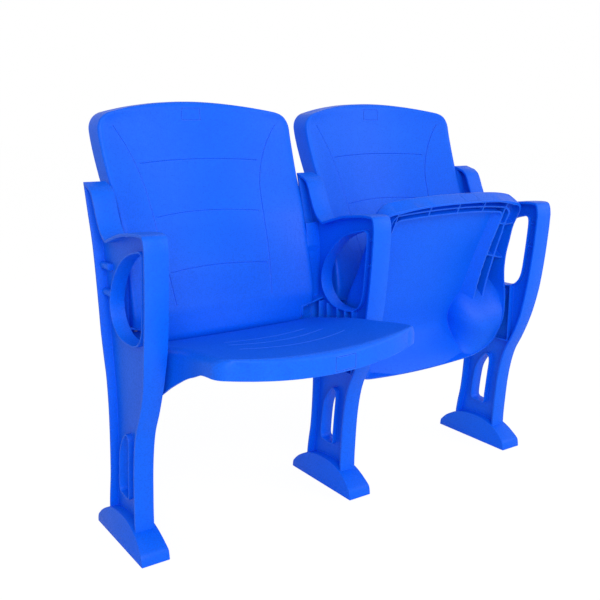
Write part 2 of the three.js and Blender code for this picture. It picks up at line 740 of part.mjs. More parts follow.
function backLowerHole(side) {
  const x = side * (PITCH / 2 - lowerScrewX);
  const z = wingTop(lowerScrewX);
  const radius = LOWER_SCREW.shankRadius + FIT_GAP;
  return cylinderAlongZ(radius, z - OVERRUN, z + LOWER_SCREW.shankLength, x, lowerScrewY(), SCREW_SIDES);
}

function backrest(name, x) {
  const { outer, core } = backShell();
  let solid = unite([
    outer.subtract(core), backRibs(outer), backLugs(),
    ...[-1, 1].map((side) => backCornerBlock(side).intersect(outer)),
  ]);
  solid = solid.subtract(backScrewHoles());
  for (const side of [-1, 1]) solid = solid.subtract(backCornerCut(side)).subtract(backLowerHole(side));
  const mesh = meshOf(name, solid, PLASTIC);
  mesh.position.x = x;
  return mesh;
}

// Half width of the seat at a distance behind its front edge's ends.
function seatHalfWidth(b, y) {
  const nearFront = Math.min(y, SEAT.cornerRadius);
  const corner = SEAT.cornerRadius - Math.sqrt(SEAT.cornerRadius ** 2 - (SEAT.cornerRadius - nearFront) ** 2);
  const waist = THREE.MathUtils.smoothstep(b, 0.12, 0.35);
  const pod = THREE.MathUtils.smoothstep(b, 0.4, 0.6);
  const width = lerp(lerp(SEAT.frontWidth, SEAT.waistWidth, waist), SEAT.podWidth, pod);
  const fromTail = SEAT.depth - SEAT.frontBow - SEAT.tailBow - y;
  const nearTail = 1 - Math.min(fromTail, SEAT.tailCornerDepth) / SEAT.tailCornerDepth;
  const tail = (SEAT.podWidth - SEAT.tailWidth) / 2 * (1 - Math.sqrt(1 - nearTail ** 2));
  return width / 2 - corner - tail;
}

// A point of the seat's plan, relative to the pivot, moved in from the edge by a wall.
function seatPlan(a, b, wall) {
  const length = SEAT.depth - SEAT.frontBow - SEAT.tailBow;
  const along = b * length;
  const half = seatHalfWidth(b, along);
  const bow = SEAT.frontBow * (1 - (0.6 * a ** 2 + 0.4 * a ** 4)) * (1 - b) ** 4;
  const tailBow = SEAT.tailBow * (1 - a ** 2) * b ** 4;
  const y = SEAT.frontBow - SEAT.frontReach + along - bow + tailBow;
  return { x: a * (half - wall), y: y + wall * (1 - 2 * b), half, along };
}

const seatDepthShare = (y) => (y + SEAT.frontReach) / SEAT.depth;
const seatBase = SEAT.riseAbovePivot - SEAT.rise;

// Height above the pivot of the dished face that the sitter's weight rests on.
function seatFace(a, b) {
  const share = seatDepthShare(seatPlan(a, b, 0).y);
  const dish = lerp(SEAT.dish, SEAT.tailDish, THREE.MathUtils.smoothstep(share, 0.4, 0.85));
  return seatBase + SEAT.rise * curveAt(seatProfileShares, share) + dish * a ** 2;
}

// The same face with its front and side edges rolled over.
function seatTop(a, b) {
  const { y, half, along } = seatPlan(a, b, 0);
  const rear = THREE.MathUtils.smoothstep(seatDepthShare(y), 0.75, 0.9);
  const sideRoll = rollDrop((1 - Math.abs(a)) * half, SEAT.sideRoll) * lerp(1, 0.3, rear);
  return seatFace(a, b) - Math.max(sideRoll, rollDrop(along, SEAT.frontRoll));
}

// Lower edge of the ribs, which grow deeper towards the pods.
function ribEdge(a, b) {
  const share = seatDepthShare(seatPlan(a, b, 0).y);
  const depth = lerp(SEAT.ribDepth, SEAT.ribPodDepth, THREE.MathUtils.smoothstep(share, 0.3, 0.8));
  return Math.min(seatFace(a, b) - depth, seatTop(a, b) - SEAT.skin);
}

// Lower edge of the seat's skirt above the pivot.
function seatRim(a, b) {
  const share = seatDepthShare(seatPlan(a, b, 0).y);
  const front = 1 - THREE.MathUtils.smoothstep(share, 0.12, 0.3);
  return seatBase + SEAT.rise * curveAt(seatRimShares, share) - SEAT.dish * (1 - a ** 2) * front;
}

// Vertical thickness of the seat's skin, which grows where the tail drops steeply.
function seatSkinAt(a, b) {
  const share = seatDepthShare(seatPlan(a, b, 0).y);
  const step = 0.01;
  const drop = (curveAt(seatProfileShares, share - step) - curveAt(seatProfileShares, share + step)) * SEAT.rise;
  const slope = drop / (2 * step * SEAT.depth);
  return SEAT.skin * Math.sqrt(1 + slope ** 2);
}

const deep = -SEAT.depth;

function seatSlab(wall, upper, lower, columns = seatColumnShares, rows = seatRowShares) {
  const point = (surface) => (a, b) => {
    const plan = seatPlan(a, b, wall);
    return [plan.x, plan.y, surface(a, b)];
  };
  return gridSolid(columns, rows, point(upper), point(lower));
}

// Everything under the seat's skin, inside an inset from its edge.
function underSkin(wall) {
  return seatSlab(
    wall, (a, b) => seatTop(a, b) - seatSkinAt(a, b), () => deep, seatInnerColumnShares, seatInnerRowShares,
  );
}

// An upright solid on a plan outline, tall enough to pass through the whole seat.
function upright(outline) {
  const geometry = new THREE.ExtrudeGeometry(new THREE.Shape(outline), { depth: 2 * SEAT.rise, bevelEnabled: false });
  geometry.translate(0, 0, -SEAT.rise);
  return solidOf(geometry);
}

// Half width of a rib's path at the front, its spread at the pods and its place behind the front edge.
const outerRib = { half: SEAT.outerRibHalfWidth, spread: SEAT.outerRibSpread, inset: SEAT.outerRibInset };
const innerRib = { half: SEAT.innerRibHalfWidth, spread: SEAT.innerRibSpread, inset: SEAT.innerRibInset };

// A closed path round the front and sides of the seat, rounded at its two corners, running into the pods.
function ribPath({ half, spread, inset: behind }, offset) {
  const front = SEAT.frontBow - SEAT.frontReach + behind + offset;
  const wide = half - offset;
  const radius = SEAT.ribCornerRadius;
  const bow = SEAT.frontBow * 2 * (half / SEAT.frontWidth * 2) ** 2;
  const shape = new THREE.Shape();
  shape.moveTo(wide + spread, 0);
  shape.lineTo(wide, front + radius);
  shape.quadraticCurveTo(wide, front, wide - radius, front - radius * ribCornerRiseShare);
  shape.quadraticCurveTo(0, front - bow, radius - wide, front - radius * ribCornerRiseShare);
  shape.quadraticCurveTo(-wide, front, -wide, front + radius);
  shape.lineTo(-wide - spread, 0);
  return shape.getPoints(CURVE_STEPS + 1);
}
const ribCornerRiseShare = 0.25;

// Two ribs run inside the skirt, tied to it and to each other by short cross ribs.
function seatRibs() {
  const half = SEAT.ribThickness / 2;
  const front = -SEAT.frontReach;
  const band = (rib) => upright(ribPath(rib, -half)).subtract(upright(ribPath(rib, half)));
  const pieces = [band(outerRib), band(innerRib)];
  const ties = [];
  for (let i = -2; i <= 2; i += 1) {
    const x = i * SEAT.crossRibPitch;
    ties.push(box(x - half, x + half, front, front / 2, -SEAT.rise, SEAT.rise));
  }
  for (const share of sideTieShares) {
    const y = front + SEAT.depth * share;
    ties.push(box(-SEAT.podWidth / 2, SEAT.podWidth / 2, y - half, y + half, -SEAT.rise, SEAT.rise));
  }
  pieces.push(unite(ties).subtract(upright(ribPath(innerRib, 0))));
  return unite(pieces).subtract(box(-SEAT.podWidth, SEAT.podWidth, -half, half, -SEAT.rise, SEAT.rise));
}
const sideTieShares = [0.2, 0.4];

function ellipsoid(side, shrink) {
  const geometry = new THREE.SphereGeometry(1, 16, 12);
  geometry.scale(POD.halfWidth - shrink, POD.halfLength - shrink, POD.halfDepth - shrink);
  geometry.translate(side * PITCH / 2 - side * STANCHION.armFlangeWidth / 2, POD.setback, POD.lift);
  return solidOf(geometry);
}

// Distance of the pod's hub face from the stanchion's mid-plane.
const podFace = HINGE.hubReach + HINGE.washerThickness + 2 * FIT_GAP;
const bushRadius = HINGE.pinRadius + FIT_GAP + HINGE.bushWall;
const podHubRadius = bushRadius + FIT_GAP + HINGE.podHubWall;

// Inside a pod: the hub that turns on the pin, and ribs from it to the pod's wall.
function podInside(side) {
  const near = PITCH / 2 - podFace;
  const [from, to] = reachOn(side, near - HINGE.podHubLength, near);
  const hub = cylinderAlongX(podHubRadius, from, to, 0, 0);
  const half = POD.ribThickness / 2;
  const [ribFrom, ribTo] = reachOn(side, near - POD.halfWidth, near - HINGE.washerThickness);
  return unite([
    hub,
    box(ribFrom, ribTo, -POD.halfLength, POD.halfLength, -half, half),
    box(ribFrom, ribTo, -half, half, -POD.halfDepth, POD.halfDepth),
  ]);
}

// The lug that swings between the buffer and the tipped-up stop. It stands on the side of the pod's hub.
function stopLug(side) {
  const { innerRadius, outerRadius, lugStart, lugEnd, lugReach, rootLength } = STOP;
  const hubFace = PITCH / 2 - podFace;
  const root = ringWedge(podHubRadius - HINGE.washerThickness, outerRadius, lugStart, lugEnd);
  const finger = ringWedge(innerRadius, outerRadius, lugStart, lugEnd);
  return sideSolid(root, ...reachOn(side, hubFace - rootLength, hubFace))
    .add(sideSolid(finger, ...reachOn(side, hubFace - rootLength / 2, PITCH / 2 - lugReach)));
}

// Space inside a pod, open to the stanchion through a round window.
function podHollow(side, roomUnderSkin) {
  const [from, to] = reachOn(side, SEAT.podWidth / 2 - 2 * POD.wall, PITCH / 2);
  const window = cylinderAlongX(POD.window, from, to, 0, 0).intersect(underSkin(-OVERRUN));
  return ellipsoid(side, POD.wall).intersect(roomUnderSkin.add(window));
}

function seatPan(name) {
  const below = seatSlab(
    SEAT.skin / 4, (a, b) => seatTop(a, b) - SEAT.skin / 2, () => deep, seatInnerColumnShares, seatInnerRowShares,
  );
  const room = underSkin(SEAT.skin);
  const shell = seatSlab(0, seatTop, seatRim).subtract(room);
  const ribLimit = seatSlab(
    SEAT.skin / 4, (a, b) => seatTop(a, b) - SEAT.skin / 2, ribEdge, seatInnerColumnShares, seatInnerRowShares,
  );
  let solid = shell.add(seatRibs().intersect(ribLimit));
  for (const side of [-1, 1]) {
    const pod = ellipsoid(side, 0).intersect(below);
    const inside = podInside(side).intersect(pod);
    solid = solid.add(pod).subtract(podHollow(side, room));
    solid = unite([solid, inside, stopLug(side)]);
    const near = PITCH / 2 - podFace;
    const bore = cylinderAlongX(
      bushRadius + FIT_GAP, ...reachOn(side, near - HINGE.bushLength - 2 * FIT_GAP, near + OVERRUN), 0, 0,
    );
    solid = solid.subtract(bore);
  }
  return meshOf(name, solid, PLASTIC);
}

function pivotBush(name, side) {
  const near = PITCH / 2 - podFace;
  const [from, to] = reachOn(side, near - HINGE.bushLength, near);
  const sleeve = cylinderAlongX(bushRadius, from, to, 0, 0)
    .subtract(cylinderAlongX(HINGE.pinRadius + FIT_GAP, from - OVERRUN, to + OVERRUN, 0, 0));
  return meshOf(name, sleeve, NYLON);
}

function pivotPin(name, x, sides) {
  const reach = podFace + HINGE.bushLength;
  const from = sides.includes(-1) ? -reach : FIT_GAP;
  const to = sides.includes(1) ? reach : -FIT_GAP;
  const mesh = meshOf(name, cylinderAlongX(HINGE.pinRadius, from, to, HINGE.pivotY, HINGE.pivotZ), STEEL);
  mesh.position.x = x;
  return mesh;
}

function frictionWasher(name, x, side) {
  const start = HINGE.hubReach + FIT_GAP;
  const [from, to] = reachOn(side, start, start + HINGE.washerThickness);
  const disc = cylinderAlongX(HINGE.washerRadius, from, to, HINGE.pivotY, HINGE.pivotZ)
    .subtract(cylinderAlongX(HINGE.pinRadius + FIT_GAP, from - OVERRUN, to + OVERRUN, HINGE.pivotY, HINGE.pivotZ));
  const mesh = meshOf(name, disc, NYLON);
  mesh.position.x = x;
  return mesh;
}

function stopBuffer(name, x, side) {
  const outline = ringWedge(HINGE.hubRadius + FIT_GAP, STOP.outerRadius, bufferStart, bufferEnd);
  const solid = sideSolid(outline, ...reachOn(side, STANCHION.webThickness / 2 + FIT_GAP, STOP.bufferReach));
  const mesh = meshOf(name, solid, RUBBER);
  mesh.position.set(x, HINGE.pivotY, HINGE.pivotZ);
  return mesh;
}

function upperScrew(name, x, z) {
  const seatFace = lugRear(z) + BACK_SCREW.washerThickness + 2 * FIT_GAP;
  const shank = cylinderAlongY(
    BACK_SCREW.shankRadius, lugRear(z) - BACK_SCREW.shankLength, seatFace + BACK_SCREW.headHeight / 2, x, z, SCREW_SIDES,
  );
  const head = cylinderAlongY(BACK_SCREW.headRadius, seatFace, seatFace + BACK_SCREW.headHeight, x, z, 6);
  return meshOf(name, shank.add(head), STEEL);
}

function upperWasher(name, x, z) {
  const from = lugRear(z) + FIT_GAP;
  const to = from + BACK_SCREW.washerThickness;
  const ring = cylinderAlongY(BACK_SCREW.washerRadius, from, to, x, z)
    .subtract(cylinderAlongY(BACK_SCREW.shankRadius + FIT_GAP, from - OVERRUN, to + OVERRUN, x, z, SCREW_SIDES));
  return meshOf(name, ring, STEEL);
}

function lowerScrew(name, x) {
  const y = lowerScrewY();
  const face = wingTop(lowerScrewX) - WING.wall - FIT_GAP - WING.wall / 4;
  const shank = cylinderAlongZ(
    LOWER_SCREW.shankRadius, face - LOWER_SCREW.headHeight / 2, face + LOWER_SCREW.shankLength, x, y, SCREW_SIDES,
  );
  const head = cylinderAlongZ(LOWER_SCREW.headRadius, face - LOWER_SCREW.headHeight, face, x, y, SCREW_SIDES);
  return meshOf(name, shank.add(head), STEEL);
}

const row = new THREE.Group();

const stanchions = [
  { name: "left", x: -PITCH, sides: [1] },
  { name: "middle", x: 0, sides: [-1, 1] },
  { name: "right", x: PITCH, sides: [-1] },
];
const places = [
  { name: "left", x: -PITCH / 2, tipUp: 0 },
  { name: "right", x: PITCH / 2, tipUp: HINGE.tipUpAngle },
];
const ends = [{ name: "left", side: -1 }, { name: "right", side: 1 }];

for (const { name, x, sides } of stanchions) {
  row.add(stanchion("stanchion_" + name, x, sides));
  row.add(pivotPin("pivot_pin_" + name, x, sides));
}

for (const { name, x, tipUp } of places) {
  row.add(backrest("backrest_" + name, x));
  const swing = new THREE.Group();
  swing.position.set(x, HINGE.pivotY, HINGE.pivotZ);
  swing.rotation.x = radians(-tipUp);
  swing.add(seatPan("seat_pan_" + name));
  for (const end of ends) {
    const place = name + "_seat_" + end.name;
    swing.add(pivotBush("pivot_bush_" + place, end.side));
    const mid = x + end.side * PITCH / 2;
    row.add(frictionWasher("friction_washer_" + place, mid, -end.side));
    row.add(stopBuffer("stop_buffer_" + place, mid, -end.side));
    const screwX = x + end.side * (PITCH / 2 - BACK_SCREW.offset);
    for (const [level, z] of [["lower", BACK_SCREW.lowerHeight], ["upper", BACK_SCREW.upperHeight]]) {
      row.add(upperScrew("back_screw_" + level + "_" + place, screwX, z));
      row.add(upperWasher("back_washer_" + level + "_" + place, screwX, z));
    }
    row.add(lowerScrew("wing_screw_" + place, x + end.side * (PITCH / 2 - lowerScrewX)));
  }
  row.add(swing);
}

export default row;
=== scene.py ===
"""A row of two tip-up stadium seats on three moulded stanchions, dressed over its CAD frame.

The row frame is the CAD's: metres, +Z up, X along the row, sitters facing -Y, origin under the middle foot.
Pieces are shaped in millimetres and put in the row in metres.
"""

import json
import logging
import math
from dataclasses import dataclass, field
from enum import Enum
from functools import partial
from typing import Callable, Iterable, Sequence

import bmesh
import bpy
import numpy as np
from mathutils import Matrix, Vector

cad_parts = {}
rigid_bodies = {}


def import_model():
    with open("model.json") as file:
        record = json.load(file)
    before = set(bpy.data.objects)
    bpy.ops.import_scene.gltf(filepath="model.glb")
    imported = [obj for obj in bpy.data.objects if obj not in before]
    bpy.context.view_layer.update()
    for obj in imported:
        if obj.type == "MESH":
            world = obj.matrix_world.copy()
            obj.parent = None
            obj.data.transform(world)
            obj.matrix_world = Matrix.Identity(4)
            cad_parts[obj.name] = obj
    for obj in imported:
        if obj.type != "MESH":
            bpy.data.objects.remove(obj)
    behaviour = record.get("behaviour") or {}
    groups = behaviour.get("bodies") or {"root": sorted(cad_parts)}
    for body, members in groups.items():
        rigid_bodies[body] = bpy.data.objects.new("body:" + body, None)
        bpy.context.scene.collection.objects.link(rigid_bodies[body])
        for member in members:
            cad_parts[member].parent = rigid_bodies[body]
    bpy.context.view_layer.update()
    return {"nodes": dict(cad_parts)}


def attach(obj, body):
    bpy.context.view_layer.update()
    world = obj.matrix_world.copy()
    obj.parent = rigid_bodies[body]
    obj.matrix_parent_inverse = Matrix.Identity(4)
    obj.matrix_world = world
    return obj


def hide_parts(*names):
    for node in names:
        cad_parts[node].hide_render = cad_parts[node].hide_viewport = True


LOG = logging.getLogger("stadium_seat")

MM = 0.001
# Where most values of a noise texture lie.
NOISE_RANGE = (0.3, 0.7)
WHITE = (1.0, 1.0, 1.0, 1.0)
Array = np.ndarray
Socket = bpy.types.NodeSocket
Thing = bpy.types.Object
Pair = tuple[float, float]
Triple = tuple[float, float, float]
Quad = tuple[float, float, float, float]
Shares = tuple[float, ...]
Table = Sequence[Pair]
Surface = Callable[[Array, Array], Array]


class Combine(Enum):
    """How a solid is combined with others."""

    JOIN = "UNION"
    CUT = "DIFFERENCE"
    KEEP = "INTERSECT"


class View(Enum):
    """The plane that a flat outline is drawn in; its thickness runs along the third axis."""

    SIDE = "y, z"
    FRONT = "x, z"
    PLAN = "x, y"


class Slot(Enum):
    """Material slots of the CAD record."""

    PLASTIC = "blue_plastic"
    STEEL = "steel"
    NYLON = "white_nylon"
    RUBBER = "black_rubber"


@dataclass(frozen=True)
class RowSizes:
    """Sizes that the pieces of the row share, in millimetres and degrees."""

    pitch: float = 500.0
    gap: float = 0.3
    overrun: float = 20.0
    pivot_y: float = -35.0
    pivot_z: float = 360.0
    tip_up: float = 58.0
    hub_radius: float = 19.0
    hub_reach: float = 24.7
    pin_radius: float = 8.0
    bush_wall: float = 3.4
    bush_length: float = 42.0
    washer_thickness: float = 2.0
    post_height: float = 719.0
    post_reach: float = 283.0
    arm_width: float = 46.0
    wing_reach: float = 64.0
    wing_depth: float = 30.0
    wing_bottom: float = 408.0
    wing_height: float = 36.0
    wing_inner_height: float = 20.0
    screw_heights: Pair = (510.0, 562.0)
    screw_offset: float = 8.2
    screw_shank: float = 2.5
    boss_radius: float = 7.0
    lug_thickness: float = 5.0
    strip_thickness: float = 4.0
    strip_boss: float = 6.0
    strip: Table = ((0.58, 0.153), (0.665, 0.148), (0.711, 0.139), (0.766, 0.132), (0.803, 0.144), (0.85, 0.16))
    # How far a tool reaches each way when it goes right through a piece.
    through: float = 300.0
    thin_round: float = 0.5
    soft_round: float = 0.8
    bore_sides: int = 20
    boss_sides: int = 24
    arc_points: int = 9

    @property
    def screw_x(self) -> float:
        """Distance of the back screws from a seat's mid-plane."""
        return self.pitch / 2 - self.screw_offset

    @property
    def pod_face(self) -> float:
        """Distance of a seat's hub face from a stanchion's mid-plane."""
        return self.hub_reach + self.washer_thickness + 2 * self.gap

    @property
    def bush_radius(self) -> float:
        """Outer radius of a pivot bush."""
        return self.pin_radius + self.gap + self.bush_wall

    @property
    def lower_screw_x(self) -> float:
        """Distance of the lower screws from a stanchion's mid-plane."""
        return (self.wing_reach + self.arm_width / 2) / 2

    def wing_top(self, x: float) -> float:
        """Height of a wing's top at a distance from the stanchion's mid-plane."""
        return self.wing_bottom + self.wing_height - (self.wing_height - self.wing_inner_height) * x / self.wing_reach

    def strip_face(self, z: float) -> float:
        """Where the front of a back's side strip stands at a height."""
        return self.post_reach * float(curve_at(self.strip, z / self.post_height))

    def strip_rear(self, z: float) -> float:
        """Where a screw boss behind a side strip ends."""
        return self.strip_face(z) + self.strip_thickness + self.strip_boss

    def screw_tip(self, z: float) -> float:
        """Where a back screw ends, inside the side strip."""
        return self.strip_face(z) + self.strip_thickness / 2 + self.gap


ROW = RowSizes()


def curve_at(table: Table, t: Array) -> Array:
    """Reads a smooth curve through a table.

    Args:
        table: pairs of place and value, with rising places.
        t: places to read at.

    Returns:
        The curve's values there.
    """
    xs, ys = np.array(table, float).T
    at = np.clip(np.asarray(t, float), xs[0], xs[-1])
    i = np.clip(np.searchsorted(xs, at) - 1, 0, len(xs) - 2)
    before, after = np.maximum(i - 1, 0), np.minimum(i + 2, len(xs) - 1)
    span = xs[i + 1] - xs[i]
    start = (ys[i + 1] - ys[before]) / (xs[i + 1] - xs[before]) * span
    end = (ys[after] - ys[i]) / (xs[after] - xs[i]) * span
    u = (at - xs[i]) / span
    return ((2 * u**3 - 3 * u**2 + 1) * ys[i] + (u**3 - 2 * u**2 + u) * start
            + (3 * u**2 - 2 * u**3) * ys[i + 1] + (u**3 - u**2) * end)


def smoothstep(t: Array, low: float, high: float) -> Array:
    """Eases from 0 at low to 1 at high."""
    u = np.clip((np.asarray(t, float) - low) / (high - low), 0, 1)
    return u * u * (3 - 2 * u)


def roll_drop(distance: Array, radius: float) -> Array:
    """How far an edge of that radius rolls over at a distance in from it."""
    inside = np.clip(distance, 0, radius)
    return radius - np.sqrt(radius**2 - (radius - inside) ** 2)


def roll_shares(half: float, roll: float, turns: int, middle: int) -> Array:
    """Grid places from -1 to 1 that follow a rolled edge closely on both sides.

    Args:
        half: half width that the places share out.
        roll: radius of the edges.
        turns: places on each roll.
        middle: places between the rolls.

    Returns:
        Rising places from -1 to 1.
    """
    angle = np.linspace(math.pi / 2, 0, turns)
    edge = roll * (1 - np.sin(angle)) / half
    flat = np.linspace(edge[-1] - 1, 1 - edge[-1], middle)
    return np.concatenate([edge[:-1] - 1, flat, (1 - edge[:-1])[::-1]])


def spline(points: Array, steps: int, closed: bool = False) -> Array:
    """Points along a smooth curve through the given ones, steps to each span.

    Args:
        points: places on the curve.
        steps: points made for each span.
        closed: whether the curve runs round.

    Returns:
        The curve's points.
    """
    count = len(points)
    spans = count if closed else count - 1

    def at(i: int) -> Array:
        """Point i, wrapped round on a closed curve and held at the ends of an open one."""
        return points[i % count] if closed else points[min(max(i, 0), count - 1)]

    made = []
    for i in range(spans):
        p0, p1, p2, p3 = at(i - 1), at(i), at(i + 1), at(i + 2)
        v0, v1 = (p2 - p0) / 2, (p3 - p1) / 2
        for t in np.arange(steps) / steps:
            made.append((2 * p1 - 2 * p2 + v0 + v1) * t**3 + (3 * p2 - 3 * p1 - 2 * v0 - v1) * t**2 + v0 * t + p1)
    if not closed:
        made.append(points[-1])
    return np.array(made)


def path_edges(count: int, closed: bool = False) -> list[tuple[int, int]]:
    """Edges that join a number of points in their order."""
    return [(i, (i + 1) % count) for i in range(count if closed else count - 1)]


def without_repeats(points: Array) -> Array:
    """An outline without points that nearly sit on the one before."""
    keep = [p for i, p in enumerate(points) if i == 0 or np.linalg.norm(p - points[i - 1]) > ROW.gap]
    return np.array(keep)


def inset(outline: Array, distance: float) -> Array:
    """A closed outline moved inwards, or outwards for a negative distance.

    Args:
        outline: its corners in order.
        distance: how far it moves.

    Returns:
        The moved corners.
    """
    ahead = np.roll(outline, -1, axis=0)
    area = np.sum(outline[:, 0] * ahead[:, 1] - ahead[:, 0] * outline[:, 1])
    into = outline - np.roll(outline, 1, axis=0)
    out = ahead - outline
    into /= np.linalg.norm(into, axis=1, keepdims=True)
    out /= np.linalg.norm(out, axis=1, keepdims=True)
    bisector = into + out
    bisector /= np.linalg.norm(bisector, axis=1, keepdims=True)
    stretch = np.maximum(np.sum(bisector * out, axis=1), 0.5)
    normal = np.stack([-bisector[:, 1], bisector[:, 0]], axis=1) * np.sign(area)
    return outline + normal * distance / stretch[:, None]


def reach_on(side: int, near: float, far: float) -> Pair:
    """Extent along X on one side of a mid-plane, in rising order."""
    low, high = sorted((side * near, side * far))
    return low, high


def rotation(degrees: float, axis: str) -> Matrix:
    """A turn about an axis."""
    return Matrix.Rotation(math.radians(degrees), 4, axis)


class Solid:
    """A closed body in millimetres that is joined to, cut by or kept within others."""

    def __init__(self, mesh: bpy.types.Mesh) -> None:
        """Wraps a closed mesh."""
        self.mesh = mesh

    @classmethod
    def from_faces(cls, points: Array, faces: Iterable[Sequence[int]]) -> "Solid":
        """A solid from its corners and faces, with the faces turned outwards.

        Args:
            points: its corners.
            faces: the corners of each face.

        Returns:
            The solid.
        """
        mesh = bpy.data.meshes.new("solid")
        mesh.from_pydata([tuple(p) for p in np.asarray(points, float)], [], [tuple(f) for f in faces])
        shape = bmesh.new()
        shape.from_mesh(mesh)
        bmesh.ops.recalc_face_normals(shape, faces=shape.faces)
        shape.to_mesh(mesh)
        shape.free()
        return cls(mesh)

    @classmethod
    def extruded(cls, outline: Array, view: View, start: float, end: float, rounding: float = 0.0) -> "Solid":
        """A flat outline given thickness.

        Args:
            outline: corners in the plane of the view.
            view: the plane that the outline is drawn in.
            start: where the thickness begins on the third axis.
            end: where it ends.
            rounding: radius of its rims, or zero for sharp ones.

        Returns:
            The solid.
        """
        outline = np.asarray(outline, float)
        u, v = outline.T
        layers = []
        for level in (start, end):
            w = np.full(len(outline), float(level))
            layers.append(np.stack({View.SIDE: (w, u, v), View.FRONT: (u, w, v), View.PLAN: (u, v, w)}[view], 1))
        count = len(outline)
        faces = [tuple(range(count)), tuple(range(2 * count - 1, count - 1, -1))]
        for i in range(count):
            j = (i + 1) % count
            faces.append((i, i + count, j + count, j))
        made = cls.from_faces(np.vstack(layers), faces)
        return made.rounded(rounding) if rounding else made

    @classmethod
    def box(cls, x: Sequence[float], y: Sequence[float], z: Sequence[float], rounding: float = 0.0) -> "Solid":
        """A block between two places on each axis."""
        outline = np.array([(x[0], y[0]), (x[1], y[0]), (x[1], y[1]), (x[0], y[1])])
        return cls.extruded(outline, View.PLAN, z[0], z[1], rounding)

    @classmethod
    def rod(cls, view: View, radius: float, start: float, end: float, centre: Sequence[float],
            sides: int = 48) -> "Solid":
        """A round bar whose section is drawn in the given view.

        Args:
            view: plane of its section.
            radius: its radius.
            start: one end on the third axis.
            end: the other end.
            centre: its axis in the plane.
            sides: flats round it.

        Returns:
            The bar.
        """
        angle = np.arange(sides) * 2 * math.pi / sides
        outline = np.stack([centre[0] + radius * np.cos(angle), centre[1] + radius * np.sin(angle)], 1)
        return cls.extruded(outline, view, start, end)

    @classmethod
    def between(cls, columns: Array, rows: Array, upper: Surface, lower: Surface) -> "Solid":
        """A closed solid between two surfaces that share one grid.

        Args:
            columns: grid places across.
            rows: grid places along.
            upper: the upper surface.
            lower: the lower surface.

        Returns:
            The solid.
        """
        a, b = np.meshgrid(columns, rows)
        points = np.vstack([upper(a, b).reshape(-1, 3), lower(a, b).reshape(-1, 3)])
        wide, tall = len(columns), len(rows)
        start = wide * tall
        faces = []
        for j in range(tall - 1):
            for i in range(wide - 1):
                p = j * wide + i
                faces.append((p, p + 1, p + wide + 1, p + wide))
                faces.append((p + start, p + start + wide, p + start + wide + 1, p + start + 1))
        edge = list(range(wide)) + [j * wide + wide - 1 for j in range(1, tall)]
        edge += [(tall - 1) * wide + i for i in range(wide - 2, -1, -1)] + [j * wide for j in range(tall - 2, 0, -1)]
        for k, p in enumerate(edge):
            q = edge[(k + 1) % len(edge)]
            faces.append((p, p + start, q + start, q))
        return cls.from_faces(points, faces)

    @classmethod
    def hoop(cls, outline: Array, thickness: float, half_widths: Array, rounding: float) -> "Solid":
        """A band that follows a closed side outline, with rounded edges.

        Args:
            outline: closed outline as (y, z).
            thickness: how far the band reaches inwards from it; negative reaches outwards.
            half_widths: half width along X at each point of the outline.
            rounding: radius of the band's four edges.

        Returns:
            The band.
        """
        turns = (0, 1, 2)
        depth = abs(thickness)
        section = []
        centres = [(depth - rounding, 1), (rounding, 1), (rounding, -1), (depth - rounding, -1)]
        for corner, (du, dv) in enumerate(centres):
            for k in turns:
                angle = (corner + k / turns[-1]) * math.pi / 2
                section.append((du + rounding * math.cos(angle), dv, rounding * math.sin(angle) - dv * rounding))
        unit = inset(outline, math.copysign(1.0, thickness)) - outline
        points = []
        for place, into, half in zip(outline, unit, half_widths):
            for u, side, dv in section:
                y, z = place + into * u
                points.append((side * half + dv, y, z))
        count, ring = len(outline), len(section)
        faces = []
        for i in range(count):
            for k in range(ring):
                m = (k + 1) % ring
                j = (i + 1) % count
                faces.append((i * ring + k, i * ring + m, j * ring + m, j * ring + k))
        return cls.from_faces(np.array(points), faces)

    @classmethod
    def as_modified(cls, thing: Thing) -> "Solid":
        """What an object's modifiers make of it."""
        graph = bpy.context.evaluated_depsgraph_get()
        return cls(bpy.data.meshes.new_from_object(thing.evaluated_get(graph)))

    @classmethod
    def from_shape(cls, shape: bmesh.types.BMesh) -> "Solid":
        """A solid from an edit mesh, which is freed.

        Args:
            shape: the edit mesh.

        Returns:
            The solid.
        """
        mesh = bpy.data.meshes.new("solid")
        shape.to_mesh(mesh)
        shape.free()
        return cls(mesh)

    def rounded(self, radius: float, least_angle: float = 40.0) -> "Solid":
        """The solid with its edges that turn more than an angle rounded.

        Args:
            radius: the rounding's.
            least_angle: the angle, in degrees.

        Returns:
            The rounded solid.
        """
        shape = bmesh.new()
        shape.from_mesh(self.mesh)
        least = math.radians(least_angle)
        edges = [e for e in shape.edges if len(e.link_faces) == 2 and e.calc_face_angle() > least]
        bmesh.ops.bevel(shape, geom=edges, offset=radius, segments=2, profile=0.5, affect="EDGES", clamp_overlap=True)
        return Solid.from_shape(shape)

    def combined(self, how: Combine, *others: "Solid") -> "Solid":
        """The solid combined with others, one after another.

        Args:
            how: the way.
            *others: the other solids.

        Returns:
            The result.
        """
        scene = bpy.context.scene.collection.objects
        made = [bpy.data.objects.new("scratch", s.mesh) for s in (self, *others)]
        for thing in made:
            scene.link(thing)
        base = made[0]
        for tool in made[1:]:
            step = base.modifiers.new("combine", "BOOLEAN")
            step.solver = "MANIFOLD"
            step.operation = how.value
            step.object = tool
        whole = Solid.as_modified(base)
        for thing in made:
            bpy.data.objects.remove(thing)
        return whole

    def join(self, *others: "Solid") -> "Solid":
        """This solid and others as one."""
        return self.combined(Combine.JOIN, *others)

    def cut(self, *others: "Solid") -> "Solid":
        """This solid without the space of others."""
        return self.combined(Combine.CUT, *others)

    def keep(self, other: "Solid") -> "Solid":
        """What this solid and another share."""
        return self.combined(Combine.KEEP, other)

